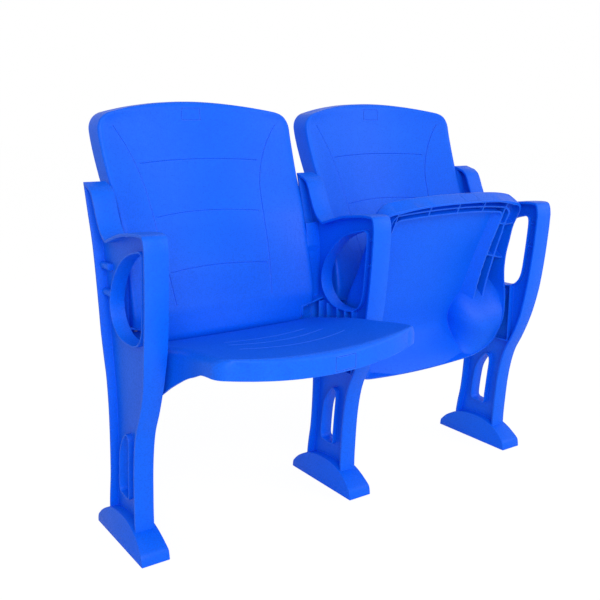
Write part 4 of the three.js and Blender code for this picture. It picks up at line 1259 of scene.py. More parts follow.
@dataclass
class Backrest:
    """One moulded back: a dished shell with a turned edge, ribs, side strips, lugs, and the creases of its face."""

    name: str
    x: float
    groove: GeometryTree
    bottom: float = 403.0
    lip: float = 19.0
    lip_radius: float = 24.0
    height: float = 473.0
    top_width: float = 454.0
    arm_width: float = 434.0
    side_depth: float = 58.0
    skin: float = 4.0
    corner: float = 38.0
    crown: float = 22.0
    crown_range: Pair = (0.5, 1)
    roll: float = 13.0
    roll_share: float = 0.8
    lean: float = 121.0
    setback: float = 12.0
    hollow: float = 66.0
    rib_inset: float = 26.0
    rib: float = 3.0
    rib_setback: float = 6.0
    tie_shares: Shares = (0.3, 0.5, 0.7)
    block_height: float = 15.0
    rear_hollow: float = 0.7
    widen_from: float = 0.85
    lug_height: float = 26.0
    strip_edge: float = 0.8
    crease: float = 3.3
    plate_line: float = 2.8
    sunk: float = 0.45
    # Counts of grid places: on the edge's roll and the lip's, then across and up between them.
    roll_points: int = 7
    lip_points: int = 8
    across_points: int = 44
    lip_rows: int = 30
    face_rows: int = 90
    # Below this place, from -1 at the lip to 1 at the top, the rows follow the lip's roll.
    lip_until: float = -0.8
    outline_shares: Shares = (0, 0.15, 0.35, 0.55, 0.7, 0.8, 0.88, 0.93, 0.97, 1)
    top_share: float = 0.94
    top_points: int = 25
    strip_points: int = 25
    crease_points: int = 40
    crease_steps: int = 6
    # Rounds that find a place's height on the crowned shell.
    rounds: int = 6
    leans: Table = ((0, 0.125), (0.06, 0.06), (0.125, 0.025), (0.3, 0.15), (0.48, 0.33), (0.545, 0.43), (0.675, 0.67),
                    (0.82, 0.89), (0.91, 0.98), (1, 1.03))
    hollows: Table = ((0, 0.06), (0.125, 0.45), (0.28, 0.63), (0.51, 1), (0.74, 0.86), (0.91, 0.73), (1, 0.7))
    side_crease: Table = ((192, 826), (168, 787), (150, 746), (138, 702), (133, 658), (130, 620), (128, 590),
                          (122, 530), (115, 464))
    cross_creases: tuple[Triple, ...] = ((141, 749, 754), (124, 640, 646), (117, 530, 535))
    plate: Triple = (22, 837, 862)

    def share(self, z: Array) -> Array:
        """A height as a share of the back's."""
        return (z - self.bottom) / self.height

    def edge_y(self, z: Array) -> Array:
        """Where the side edges stand at a height."""
        return self.setback + self.lean * curve_at(self.leans, self.share(z))

    def half_width(self, z: Array) -> Array:
        """Half width: narrow between the arms, wide above, with round upper corners.

        Args:
            z: heights.

        Returns:
            The half widths.
        """
        straight = self.bottom + self.height - self.crown - self.corner
        widen = smoothstep(z, ROW.post_height * self.widen_from, straight)
        half = (self.arm_width + (self.top_width - self.arm_width) * widen) / 2
        over = np.clip(z - straight, 0, self.corner)
        return half - self.corner + np.sqrt(self.corner**2 - over**2)

    def crown_at(self, a: Array, b: Array) -> Array:
        """How far the crown lifts a place of the shell."""
        return self.crown * (1 - a**2) * smoothstep(b, *self.crown_range)

    def place(self, a: Array, b: Array, wall: float, depth: float, further: float = 0.0) -> Array:
        """A point of the shell.

        Args:
            a: place across, from -1 to 1.
            b: place up, from 0 to 1.
            wall: how far the outline and face are moved inwards.
            depth: 0 on the face, 1 on the rear.
            further: distance added towards the rear.

        Returns:
            Points as (x, y, z).
        """
        top = self.bottom + self.height - self.crown
        low = self.bottom - self.lip
        rise = low + (top - low) * b
        half = self.half_width(rise)
        z = rise + self.crown_at(a, b) + wall * (1 - 2 * b)
        hollow = self.hollow * curve_at(self.hollows, self.share(rise))
        side = (1 - np.abs(a)) * half
        roll = roll_drop(side, self.roll) + roll_drop(top - rise, self.roll) + roll_drop(rise - low, self.lip_radius)
        front = self.edge_y(rise) + hollow * (1 - a**2) + roll * self.roll_share + wall
        rear = self.edge_y(rise) + self.side_depth + hollow * self.rear_hollow * (1 - a**2)
        return np.stack([a * (half - wall), front + (rear - front) * depth + further, z], -1)

    def face_y(self, x: Array, z: Array) -> Array:
        """Where the face stands at places seen from the front, away from its rolled edges.

        Args:
            x: places across.
            z: heights.

        Returns:
            The face's places along Y.
        """
        low, top = self.bottom - self.lip, self.bottom + self.height - self.crown
        rise = z.copy()
        for _ in range(self.rounds):
            a = np.clip(x / self.half_width(rise), -1, 1)
            b = (rise - low) / (top - low)
            rise = z - self.crown_at(a, b)
        hollow = self.hollow * curve_at(self.hollows, self.share(rise))
        return self.edge_y(rise) + hollow * (1 - a**2)

    def shell(self) -> tuple[Solid, Solid]:
        """The back's full shape and the core that hollows it from behind.

        Returns:
            The shape and the core.
        """
        columns = roll_shares(self.arm_width / 2, self.roll, self.roll_points, self.across_points)
        low = roll_shares(self.height / 2, self.lip_radius, self.lip_points, self.lip_rows)
        high = roll_shares(self.height / 2, self.roll, self.roll_points, self.face_rows)
        middle = high[(high >= self.lip_until) & (high < 1)]
        rows = (np.concatenate([low[low < self.lip_until], middle, [1.0]]) + 1) / 2
        outer = Solid.between(columns, rows, lambda a, b: self.place(a, b, 0, 0), lambda a, b: self.place(a, b, 0, 1))
        core = Solid.between(columns, rows, lambda a, b: self.place(a, b, self.skin, 0),
                             lambda a, b: self.place(a, b, self.skin, 1, ROW.overrun))
        return outer, core

    def outline(self, distance: float) -> Array:
        """The back's outline seen from the front, moved in from its edge.

        Args:
            distance: how far it moves in.

        Returns:
            The outline as (x, z).
        """
        b = np.array(self.outline_shares)
        right = self.place(np.ones_like(b), b, 0, 0)[:, (0, 2)]
        a = np.linspace(self.top_share, -self.top_share, self.top_points)
        top = self.place(a, np.ones_like(a), 0, 0)[:, (0, 2)]
        left = right[::-1] * (-1, 1)
        return inset(without_repeats(np.vstack([right, top, left])), distance)

    def ribs(self, outer: Solid) -> Solid:
        """The rib round the rear and the short ribs that tie it to the turned edge.

        Args:
            outer: the back's full shape.

        Returns:
            The ribs.
        """
        deep = ROW.through
        ring = Solid.extruded(self.outline(self.rib_inset), View.FRONT, -deep, deep)
        ring = ring.cut(Solid.extruded(self.outline(self.rib_inset + self.rib), View.FRONT, -2 * deep, 2 * deep))
        ties = []
        for share in self.tie_shares:
            z = self.bottom + self.height * share
            for side in (-1, 1):
                across = reach_on(side, self.arm_width / 2 - self.rib_inset - self.rib / 2, self.top_width / 2)
                ties.append(Solid.box(across, (-deep, deep), (z - self.rib / 2, z + self.rib / 2)))
        return ring.join(*ties).keep(outer.moved(y=-self.rib_setback)).keep(outer)

    def strips(self, post: Stanchion) -> list[Solid]:
        """The side strips that reach the stanchions' webs, with the screw bosses behind them.

        Args:
            post: a stanchion that the back hangs on.

        Returns:
            The strips and bosses.
        """
        heights = np.linspace(ROW.strip[0][0], ROW.strip[-1][0], self.strip_points) * ROW.post_height
        front = np.array([(ROW.strip_face(z), z) for z in heights])
        profile = np.vstack([front[::-1], front + (ROW.strip_thickness, 0)])
        made = []
        for side in (-1, 1):
            across = reach_on(side, self.arm_width / 2 - self.skin, ROW.pitch / 2 - post.web / 2 - ROW.gap)
            made.append(Solid.extruded(profile, View.SIDE, *across, self.strip_edge))
            room = Solid.box(across, (0, post.reach), (0, post.height))
            for z in ROW.screw_heights:
                start = ROW.strip_face(z) + ROW.strip_thickness / 2
                boss = Solid.rod(View.FRONT, ROW.boss_radius, start, ROW.strip_rear(z), (side * ROW.screw_x, z),
                                 ROW.boss_sides)
                made.append(boss.keep(room))
        return made

    def lugs(self, post: Stanchion) -> list[Solid]:
        """The lugs that lie behind the stanchions' rear flanges.

        Args:
            post: a stanchion that the back hangs on.

        Returns:
            The lugs.
        """
        made = []
        half = self.lug_height / 2
        for z in ROW.screw_heights:
            rear = self.lug_rear(post, z)
            profile = np.array([(post.rear_at(z - half) + ROW.gap, z - half), (rear, z - half), (rear, z + half),
                                (post.rear_at(z + half) + ROW.gap, z + half), (post.rear_at(z) + ROW.gap, z)])
            for side in (-1, 1):
                across = reach_on(side, self.arm_width / 2 - self.skin, ROW.pitch / 2 - post.web / 2)
                made.append(Solid.extruded(profile, View.SIDE, *across))
        return made

    def lug_rear(self, post: Stanchion, z: float) -> float:
        """Where a lug's rear face stands."""
        return post.rear_at(z) + 2 * ROW.gap + ROW.lug_thickness

    def openings(self, post: Stanchion, side: int) -> list[Solid]:
        """What is cut from the back on one side: screw holes and the corner over the wing.

        Args:
            post: a stanchion that the back hangs on.
            side: -1 for the left, 1 for the right.

        Returns:
            The cutters.
        """
        radius = ROW.screw_shank + ROW.gap
        cuts = []
        for z in ROW.screw_heights:
            tip, end = ROW.screw_tip(z) - ROW.gap, self.lug_rear(post, z) + ROW.overrun
            cuts.append(Solid.rod(View.FRONT, radius, tip, end, (side * ROW.screw_x, z), ROW.bore_sides))
        inner, outer = ROW.pitch / 2 - ROW.wing_reach - ROW.gap, ROW.pitch / 2
        low = self.bottom - ROW.overrun
        corner = np.array([(inner, low), (outer, low), (outer, ROW.wing_top(0) + ROW.gap),
                           (inner, ROW.wing_top(ROW.pitch / 2 - inner) + ROW.gap)]) * (side, 1)
        cuts.append(Solid.extruded(corner, View.FRONT, -ROW.through, ROW.through))
        top = ROW.wing_top(ROW.lower_screw_x)
        place = (side * (ROW.pitch / 2 - ROW.lower_screw_x), post.wing_rear() - ROW.wing_depth / 2)
        cuts.append(Solid.rod(View.PLAN, radius, top - ROW.overrun, top + self.block_height, place, ROW.bore_sides))
        return cuts

    def corner_block(self, post: Stanchion, side: int) -> Solid:
        """The block in a lower corner that takes the wing's screw.

        Args:
            post: a stanchion that the back hangs on.
            side: -1 for the left, 1 for the right.

        Returns:
            The block.
        """
        across = reach_on(side, ROW.pitch / 2 - ROW.wing_reach, self.arm_width / 2)
        low = ROW.wing_top(ROW.wing_reach) + ROW.gap
        rear = post.wing_rear()
        return Solid.box(across, (rear - ROW.wing_depth, rear), (low, low + self.block_height + self.skin))

    def creases(self) -> list[Solid]:
        """Cutters for the creases pressed in the face and for the bare plate's outline.

        Returns:
            The cutters.
        """
        lines: list[tuple[Array, bool, float]] = []
        side = spline(np.array(self.side_crease, float), self.crease_steps)
        lines += [(side, False, self.crease), (side * (-1, 1), False, self.crease)]
        for half, ends, middle in self.cross_creases:
            x = np.linspace(-half, half, self.crease_points)
            lines.append((np.stack([x, middle - (middle - ends) * (x / half) ** 2], 1), False, self.crease))
        half, low, high = self.plate
        plate = np.array([(-half, low), (half, low), (half, high), (-half, high)], float)
        lines.append((plate, True, self.plate_line))
        made = []
        for line, closed, width in lines:
            points = np.stack([line[:, 0], self.face_y(line[:, 0], line[:, 1]) + self.sunk, line[:, 1]], 1)
            made.append(self.groove.run(points, path_edges(len(points), closed), Width=width))
        return made

    def build(self, shop: Workshop, post: Stanchion) -> Thing:
        """Shapes the back and puts it in the row.

        Args:
            shop: finishes and places the piece.
            post: a stanchion that the back hangs on.

        Returns:
            The piece.
        """
        outer, core = self.shell()
        blocks = [self.corner_block(post, side).keep(outer) for side in (-1, 1)]
        body = outer.cut(core).join(self.ribs(outer), *self.strips(post), *self.lugs(post), *blocks)
        body = body.cut(*self.openings(post, -1), *self.openings(post, 1), *self.creases())
        return shop.place("moulded_back_" + self.name, body.moved(self.x), Slot.PLASTIC, "row",
                          ["backrest_" + self.name])


@dataclass
class SeatPan:
    """One moulded tip-up seat: a dished shell with a skirt, two ribs round its underside, and two hinge pods."""

    name: str
    x: float
    tipped: float
    cross_ribs: GeometryTree
    groove: GeometryTree
    depth: float = 435.0
    front_reach: float = 325.0
    rise: float = 143.0
    rise_above_pivot: float = 85.0
    front_width: float = 438.0
    waist_width: float = 428.0
    waist_range: Pair = (0.12, 0.35)
    pod_width: float = 444.0
    pod_range: Pair = (0.4, 0.6)
    tail_width: float = 300.0
    skin: float = 4.0
    tail_growth: float = 1.5
    growth_range: Pair = (0.8, 0.96)
    side_roll: float = 20.0
    side_roll_loss: float = 0.7
    side_roll_range: Pair = (0.75, 0.9)
    front_roll: float = 12.0
    tail_roll: float = 30.0
    front_bow: float = 25.0
    # What the front's bow owes to the square and to the fourth power of the place across.
    bow_shares: Pair = (0.6, 0.4)
    tail_bow: float = 10.0
    corner: float = 35.0
    tail_corner: float = 70.0
    dish: float = 15.0
    tail_dish: float = 4.0
    dish_range: Pair = (0.4, 0.85)
    skirt_range: Pair = (0.12, 0.3)
    rib: float = 3.0
    rib_depth: float = 23.0
    rib_pod_depth: float = 38.0
    rib_depth_range: Pair = (0.3, 0.8)
    rib_side_depth: float = 24.0
    rib_side_range: Pair = (0.74, 1)
    rib_lean: float = 18.0
    rib_corner: float = 16.0
    rib_corner_share: float = 0.25
    rib_count: int = 5
    rib_pitch: float = 84.0
    rib_place_share: float = 0.75
    bar_shares: Shares = (0.2, 0.4)
    # The leaning rib's layers reach from above the skin to below the rib's edge, in depths of the rib.
    rib_levels: Pair = (-1.0, 2.0)
    outer_rib: Triple = (183.0, 10.0, 22.0)
    inner_rib: Triple = (169.0, -2.0, 33.0)
    pod_across: float = 89.0
    pod_recess: float = 2.0
    pod_wall: float = 4.0
    pod_window: float = 44.0
    pod_hub_wall: float = 9.0
    pod_hub_length: float = 52.0
    lug_root: float = 26.0
    lug_reach: float = 12.0
    lug_radii: Pair = (22.0, 38.0)
    lug_span: Pair = (240.0, 272.0)
    crease: float = 2.6
    creases: tuple[Triple, ...] = ((0.55, 0.2375, 0.29), (0.5, 0.379, 0.43), (0.42, 0.507, 0.535))
    plate: Quad = (-4.0, 40.0, 0.0, 26.0)
    plate_line: float = 2.8
    sunk: float = 1.0
    profile: Table = ((0, 1), (0.2, 0.935), (0.43, 0.854), (0.66, 0.762), (0.83, 0.691), (0.885, 0.632), (0.93, 0.455),
                      (0.97, 0.18), (1, 0))
    rim: Table = ((0, 0.816), (0.2, 0.794), (0.3, 0.686), (0.39, 0.577), (0.5, 0.393), (0.6, 0.187), (0.7, 0.025),
                  (0.8, -0.03), (0.9, -0.05), (1, -0.03))
    pod_widths: Table = ((0.566, 0.06), (0.59, 0.17), (0.62, 0.35), (0.65, 0.58), (0.68, 0.79), (0.715, 0.93),
                         (0.76, 1), (0.826, 1), (0.89, 0.89), (0.922, 0.775), (0.959, 0.59), (0.985, 0.35), (1, 0))
    pod_depths: Table = ((0.566, 0.35), (0.57, 0.53), (0.579, 0.73), (0.598, 0.87), (0.625, 0.94), (0.66, 1), (1, 1))
    pod_round: Pair = (0.6, 0.8)
    pod_edge: float = 0.75
    pod_ends: Pair = (0.566, 0.995)
    hollow_ends: Pair = (0.6, 0.965)
    # Counts of grid places: on the rolls at the sides, front and tail, then between them.
    side_points: int = 8
    across_points: int = 40
    front_points: int = 7
    along_points: int = 90
    tail_points: int = 8
    tail_rows: int = 120
    # Of the places that follow the tail's roll, this many are used.
    tail_kept: int = 24
    pod_columns: int = 15
    pod_rows: int = 70
    crease_points: int = 40
    # Points of a rib's path: on each side, each corner and the front.
    path_points: tuple[int, int, int] = (16, 8, 32)

    def plan(self, a: Array, b: Array, wall: float) -> tuple[Array, Array, Array, Array]:
        """A place of the seat's plan, from the pivot.

        Args:
            a: place across, from -1 to 1.
            b: place from the front edge to the tail, from 0 to 1.
            wall: how far the outline is moved inwards.

        Returns:
            x, y, the half width there and the distance behind the front edge's ends.
        """
        length = self.depth - self.front_bow - self.tail_bow
        along = b * length
        near = np.minimum(along, self.corner)
        corner = self.corner - np.sqrt(self.corner**2 - (self.corner - near) ** 2)
        width = self.front_width + (self.waist_width - self.front_width) * smoothstep(b, *self.waist_range)
        width = width + (self.pod_width - width) * smoothstep(b, *self.pod_range)
        near_tail = 1 - np.minimum(length - along, self.tail_corner) / self.tail_corner
        tail = (self.pod_width - self.tail_width) / 2 * (1 - np.sqrt(1 - near_tail**2))
        half = width / 2 - corner - tail
        second, fourth = self.bow_shares
        bow = self.front_bow * (1 - (second * a**2 + fourth * a**4)) * (1 - b) ** 4
        y = self.front_bow - self.front_reach + along - bow + self.tail_bow * (1 - a**2) * b**4
        return a * (half - wall), y + wall * (1 - 2 * b), half, along

    def share(self, a: Array, b: Array) -> Array:
        """A place's share of the seat's depth, from the front."""
        return (self.plan(a, b, 0)[1] + self.front_reach) / self.depth

    def level(self, table: Table, share: Array) -> Array:
        """A table's height above the pivot at a share of the depth."""
        return self.rise_above_pivot - self.rise + self.rise * curve_at(table, share)

    def face(self, a: Array, b: Array) -> Array:
        """Height of the dished face.

        Args:
            a: place across, from -1 to 1.
            b: place from the front to the tail, from 0 to 1.

        Returns:
            Heights above the pivot.
        """
        share = self.share(a, b)
        dish = self.dish + (self.tail_dish - self.dish) * smoothstep(share, *self.dish_range)
        return self.level(self.profile, share) + dish * a**2

    def top(self, a: Array, b: Array) -> Array:
        """Height of the face with its front and side edges rolled over.

        Args:
            a: place across, from -1 to 1.
            b: place from the front to the tail, from 0 to 1.

        Returns:
            Heights above the pivot.
        """
        _, _, half, along = self.plan(a, b, 0)
        rear = smoothstep(self.share(a, b), *self.side_roll_range)
        side = roll_drop((1 - np.abs(a)) * half, self.side_roll) * (1 - self.side_roll_loss * rear)
        return self.face(a, b) - np.maximum(side, roll_drop(along, self.front_roll))

    def rib_edge(self, a: Array, b: Array) -> Array:
        """Lower edge of the ribs, which deepen towards the pods and beside the skirt.

        Args:
            a: place across, from -1 to 1.
            b: place from the front to the tail, from 0 to 1.

        Returns:
            Heights above the pivot.
        """
        deeper = self.rib_side_depth * smoothstep(np.abs(a), *self.rib_side_range)
        depth = self.rib_depth_at(self.share(a, b)) + deeper
        edge = np.minimum(self.face(a, b) - depth, self.top(a, b) - self.skin)
        return np.maximum(edge, self.skirt_edge(a, b) + self.pod_recess)

    def rib_depth_at(self, share: Array) -> Array:
        """Depth of the inner rib under the face at a share of the seat's depth."""
        return self.rib_depth + (self.rib_pod_depth - self.rib_depth) * smoothstep(share, *self.rib_depth_range)

    def skirt_edge(self, a: Array, b: Array) -> Array:
        """Lower edge of the skirt."""
        share = self.share(a, b)
        return self.level(self.rim, share) - self.dish * (1 - a**2) * (1 - smoothstep(share, *self.skirt_range))

    def skin_at(self, a: Array, b: Array) -> Array:
        """Upright thickness of the skin, which grows where the tail drops."""
        return self.skin * (1 + self.tail_growth * smoothstep(self.share(a, b), *self.growth_range))

    def slab(self, wall: float, upper: Surface, lower: Surface) -> Solid:
        """A solid between two heights over the plan, moved in by a wall.

        Args:
            wall: how far the plan is moved in.
            upper: the upper height.
            lower: the lower height.

        Returns:
            The solid.
        """
        columns = roll_shares(self.front_width / 2, self.side_roll, self.side_points, self.across_points)
        front = roll_shares(self.depth / 2, self.front_roll, self.front_points, self.along_points)
        tail = roll_shares(self.depth / 2, self.tail_roll, self.tail_points, self.tail_rows)[-self.tail_kept:]
        rows = (np.concatenate([front[front < tail[0]], tail]) + 1) / 2

        def points(height: Surface, a: Array, b: Array) -> Array:
            """Points of the plan at a height."""
            return np.stack([*self.plan(a, b, wall)[:2], height(a, b)], -1)

        return Solid.between(columns, rows, partial(points, upper), partial(points, lower))

    def deep(self, a: Array, b: Array) -> Array:
        """A level under the whole seat."""
        return np.full_like(a, -self.depth)

    def room(self, wall: float) -> Solid:
        """Everything under the skin, inside an inset from the edge."""
        return self.slab(wall, lambda a, b: self.top(a, b) - self.skin_at(a, b), self.deep)

    def rib_path(self, rib: Triple, offset: float) -> Array:
        """A closed path round the front and sides, rounded at its corners, that runs into the pods.

        Args:
            rib: half width, spread at the pods and distance from the front.
            offset: distance inside the rib's middle.

        Returns:
            The path as (x, y).
        """
        half, spread, behind = rib
        front = self.front_bow - self.front_reach + behind + offset
        wide, radius = half - offset, self.rib_corner
        bow = self.front_bow * 2 * (half / self.front_width * 2) ** 2
        rise = front - radius * self.rib_corner_share
        side_points, corner_points, front_points = self.path_points

        def bend(start: Sequence[float], turn: Sequence[float], end: Sequence[float], count: int) -> Array:
            """Points along a bend between two places, without the last.

            Args:
                start: where it begins.
                turn: the corner.
                end: where it ends.
                count: its points.

            Returns:
                The points.
            """
            t = np.arange(count)[:, None] / count
            p, q, r = (np.array(v, float) for v in (start, turn, end))
            return (1 - t) ** 2 * p + 2 * t * (1 - t) * q + t**2 * r

        right, left = (wide - radius, rise), (radius - wide, rise)
        straight = np.linspace((wide + spread, 0.0), (wide, front + radius), side_points)
        return np.vstack([
            straight[:-1],
            bend((wide, front + radius), (wide, front), right, corner_points),
            bend(right, (0, front - bow), left, front_points),
            bend(left, (-wide, front), (-wide, front + radius), corner_points),
            straight[::-1] * (-1, 1),
        ])

    def ribs(self, shop: Workshop) -> Solid:
        """The two ribs round the underside and the cross ribs that tie them to the skirt.

        Args:
            shop: finishes and places the piece.

        Returns:
            The ribs.
        """
        tall, half = self.rise, self.rib / 2

        def block(rib: Triple, offset: float) -> Solid:
            """Upright solid inside a rib's path."""
            return Solid.extruded(self.rib_path(rib, offset), View.PLAN, -tall, tall)

        band = block(self.outer_rib, -half).cut(block(self.outer_rib, half))
        front = -self.front_reach
        ties = self.cross_ribs.run(np.zeros((1, 3)), [], Count=self.rib_count, Pitch=self.rib_pitch,
                                   Thickness=self.rib, Length=self.front_reach / 2, Height=2 * tall,
                                   Finish=shop.finishes.of(Slot.PLASTIC))
        ties = ties.moved(y=front * self.rib_place_share)
        bars = []
        for share in self.bar_shares:
            y = front + self.depth * share
            bars.append(Solid.box((-self.pod_width / 2, self.pod_width / 2), (y - half, y + half), (-tall, tall)))
        ties = ties.join(*bars).cut(block(self.inner_rib, self.rib_lean), self.leaning(0, 2 * self.rib_lean))
        across = (-self.front_width / 2, self.front_width / 2)
        return band.join(self.leaning(-half, half), ties).cut(Solid.box(across, (-half, half), (-tall, tall)))

    def leaning(self, near: float, far: float) -> Solid:
        """A layer on the inner rib's path that leans inwards at the sides, between two distances inside its edge.

        Args:
            near: the first distance.
            far: the second.

        Returns:
            The layer.
        """
        count = len(self.rib_path(self.inner_rib, 0))

        def layer(offset: float, place: Array, level: Array) -> Array:
            """Points of the layer's surface at a distance inside the rib's edge.

            Args:
                offset: the distance.
                place: grid places along the path.
                level: depth, 0 at the face and 1 at the rib's edge.

            Returns:
                The points.
            """
            paths = [self.rib_path(self.inner_rib, offset + self.rib_lean * (1 - v)) for v in level[:, 0]]
            x = np.stack([path[:, 0] for path in paths])
            y = np.tile(self.rib_path(self.inner_rib, offset)[:, 1], (len(place), 1))
            share = (y + self.front_reach) / self.depth
            z = self.level(self.profile, share) + self.dish / 2 - level * self.rib_depth_at(share)
            return np.stack([x, y, z], -1)

        return Solid.between(np.arange(count), np.array(self.rib_levels), partial(layer, near), partial(layer, far))

    def pod(self, side: int, wall: float) -> Solid:
        """A bulge that deepens towards the seat's side.

        Args:
            side: -1 or 1.
            wall: 0 for the outer form, or the thickness taken off all round for the hollow in it.

        Returns:
            The form, up to the middle of the seat's skin.
        """
        start = 0.0 if wall else self.skin / 2
        step = wall / (self.depth - self.front_bow - self.tail_bow)

        def narrower(table: Table, b: Array) -> Array:
            """The table's value less what a wall takes off at its ends."""
            return np.minimum(curve_at(table, b - step), curve_at(table, b + step))

        def across(u: Array, b: Array) -> Array:
            """Place across the seat at a share of the pod's width."""
            wide = self.pod_across * narrower(self.pod_widths, b) - wall
            return side * (1 - (start + (wide - start) * u) / self.plan(u, b, 0)[2])

        def upper(u: Array, b: Array) -> Array:
            """Points in the seat's skin."""
            a = across(u, b)
            return np.stack([*self.plan(a, b, 0)[:2], self.top(a, b) - self.skin / 2], -1)

        def lower(u: Array, b: Array) -> Array:
            """Points on the pod's outside.

            Args:
                u: share of the pod's width.
                b: place from the front to the tail, from 0 to 1.

            Returns:
                The points.
            """
            a = across(u, b)
            edge = self.top(a, b) - self.skin * self.pod_edge
            turn = smoothstep(b, *self.pod_round)
            section = (1 - u) * (1 - turn) + np.sqrt(1 - u**2) * turn
            depth = (edge - self.skirt_edge(a, b) - self.pod_recess) * narrower(self.pod_depths, b) - wall
            return np.stack([*self.plan(a, b, 0)[:2], edge - depth * section], -1)

        columns = np.sin(np.linspace(0, math.pi / 2, self.pod_columns))
        rows = np.linspace(*(self.hollow_ends if wall else self.pod_ends), self.pod_rows)
        return Solid.between(columns, rows, upper, lower)

    def pod_inside(self, side: int) -> Solid:
        """The hub in a pod and the two ribs that carry it.

        Args:
            side: -1 for the left, 1 for the right.

        Returns:
            Hub and ribs.
        """
        near = ROW.pitch / 2 - ROW.pod_face
        radius = ROW.bush_radius + ROW.gap + self.pod_hub_wall
        half = self.rib / 2
        hub = Solid.rod(View.SIDE, radius, *reach_on(side, near - self.pod_hub_length, near), (0, 0))
        across = reach_on(side, near - self.pod_across, near - ROW.washer_thickness)
        return hub.join(Solid.box(across, (-self.depth, self.depth), (-half, half)),
                        Solid.box(across, (-half, half), (-self.rise, self.rise)))

    def lug(self, side: int) -> Solid:
        """The lug that swings between the stanchion's stops.

        Args:
            side: -1 for the left, 1 for the right.

        Returns:
            The lug.
        """
        angle = np.radians(np.linspace(*self.lug_span, ROW.arc_points))
        arc = np.stack([np.cos(angle), np.sin(angle)], 1)
        hub = ROW.pitch / 2 - ROW.pod_face
        inner, outer = self.lug_radii
        root = ROW.bush_radius + ROW.gap + self.pod_hub_wall - ROW.washer_thickness
        base = Solid.extruded(np.vstack([arc * outer, arc[::-1] * root]), View.SIDE,
                              *reach_on(side, hub - self.lug_root, hub))
        finger = Solid.extruded(np.vstack([arc * outer, arc[::-1] * inner]), View.SIDE,
                                *reach_on(side, hub - self.lug_root / 2, ROW.pitch / 2 - self.lug_reach))
        return base.join(finger)

    def pods(self, shell: Solid, room: Solid) -> Solid:
        """The shell with its two hinge pods.

        Args:
            shell: the seat without pods.
            room: the space under its skin.

        Returns:
            The seat with pods.
        """
        wide_room = self.room(-ROW.overrun)
        near = ROW.pitch / 2 - ROW.pod_face
        body = shell
        for side in (-1, 1):
            pod = self.pod(side, 0)
            face = self.pod_width / 2 - self.pod_wall - self.pod_recess
            window = Solid.rod(View.SIDE, self.pod_window, *reach_on(side, face, ROW.pitch / 2), (0, 0)).keep(wide_room)
            hollow = self.pod(side, self.pod_wall).keep(room)
            bore = Solid.rod(View.SIDE, ROW.bush_radius + ROW.gap,
                             *reach_on(side, near - ROW.bush_length - 2 * ROW.gap, near + ROW.overrun), (0, 0))
            inside = self.pod_inside(side).keep(pod)
            body = body.join(pod).cut(hollow, window).join(inside, self.lug(side)).cut(bore)
        return body

    def grooves(self) -> list[Solid]:
        """Cutters for the bowed creases of the face and the outline of the bare plate on the front skirt.

        Returns:
            The cutters.
        """
        made = []
        for end, middle, bowed in self.creases:
            a = np.linspace(-end, end, self.crease_points)
            b = middle + (bowed - middle) * (a / end) ** 2
            points = np.stack([*self.plan(a, b, 0)[:2], self.face(a, b)], 1)
            made.append(self.groove.run(points, path_edges(len(points)), Width=self.crease))
        left, right, high, low = self.plate
        middle = (left + right) / 2
        a = np.array([left, middle, right, right, middle, left]) / (self.front_width / 2 - self.corner)
        x, y, _, _ = self.plan(a, np.zeros_like(a), 0)
        z = self.face(a, np.zeros_like(a)) - self.front_roll - np.repeat([low, high], 3)
        outline = np.stack([x, y + self.sunk, z], 1)
        return made + [self.groove.run(outline, path_edges(len(a), True), Width=self.plate_line)]

    def build(self, shop: Workshop) -> Thing:
        """Shapes the seat and puts it in the row.

        Args:
            shop: finishes and places the piece.

        Returns:
            The piece.
        """
        room = self.room(self.skin)
        limit = self.slab(self.skin / 4, lambda a, b: self.top(a, b) - self.skin / 2, self.rib_edge)
        shell = self.slab(0, self.top, self.skirt_edge).cut(room)
        body = self.pods(shell.join(self.ribs(shop).keep(limit)), room).cut(*self.grooves()).whole()
        swing = Matrix.Translation((self.x, ROW.pivot_y, ROW.pivot_z)) @ rotation(-self.tipped, "X")
        return shop.place("moulded_seat_" + self.name, body.placed(swing), Slot.PLASTIC, "seat_" + self.name,
                          ["seat_pan_" + self.name])


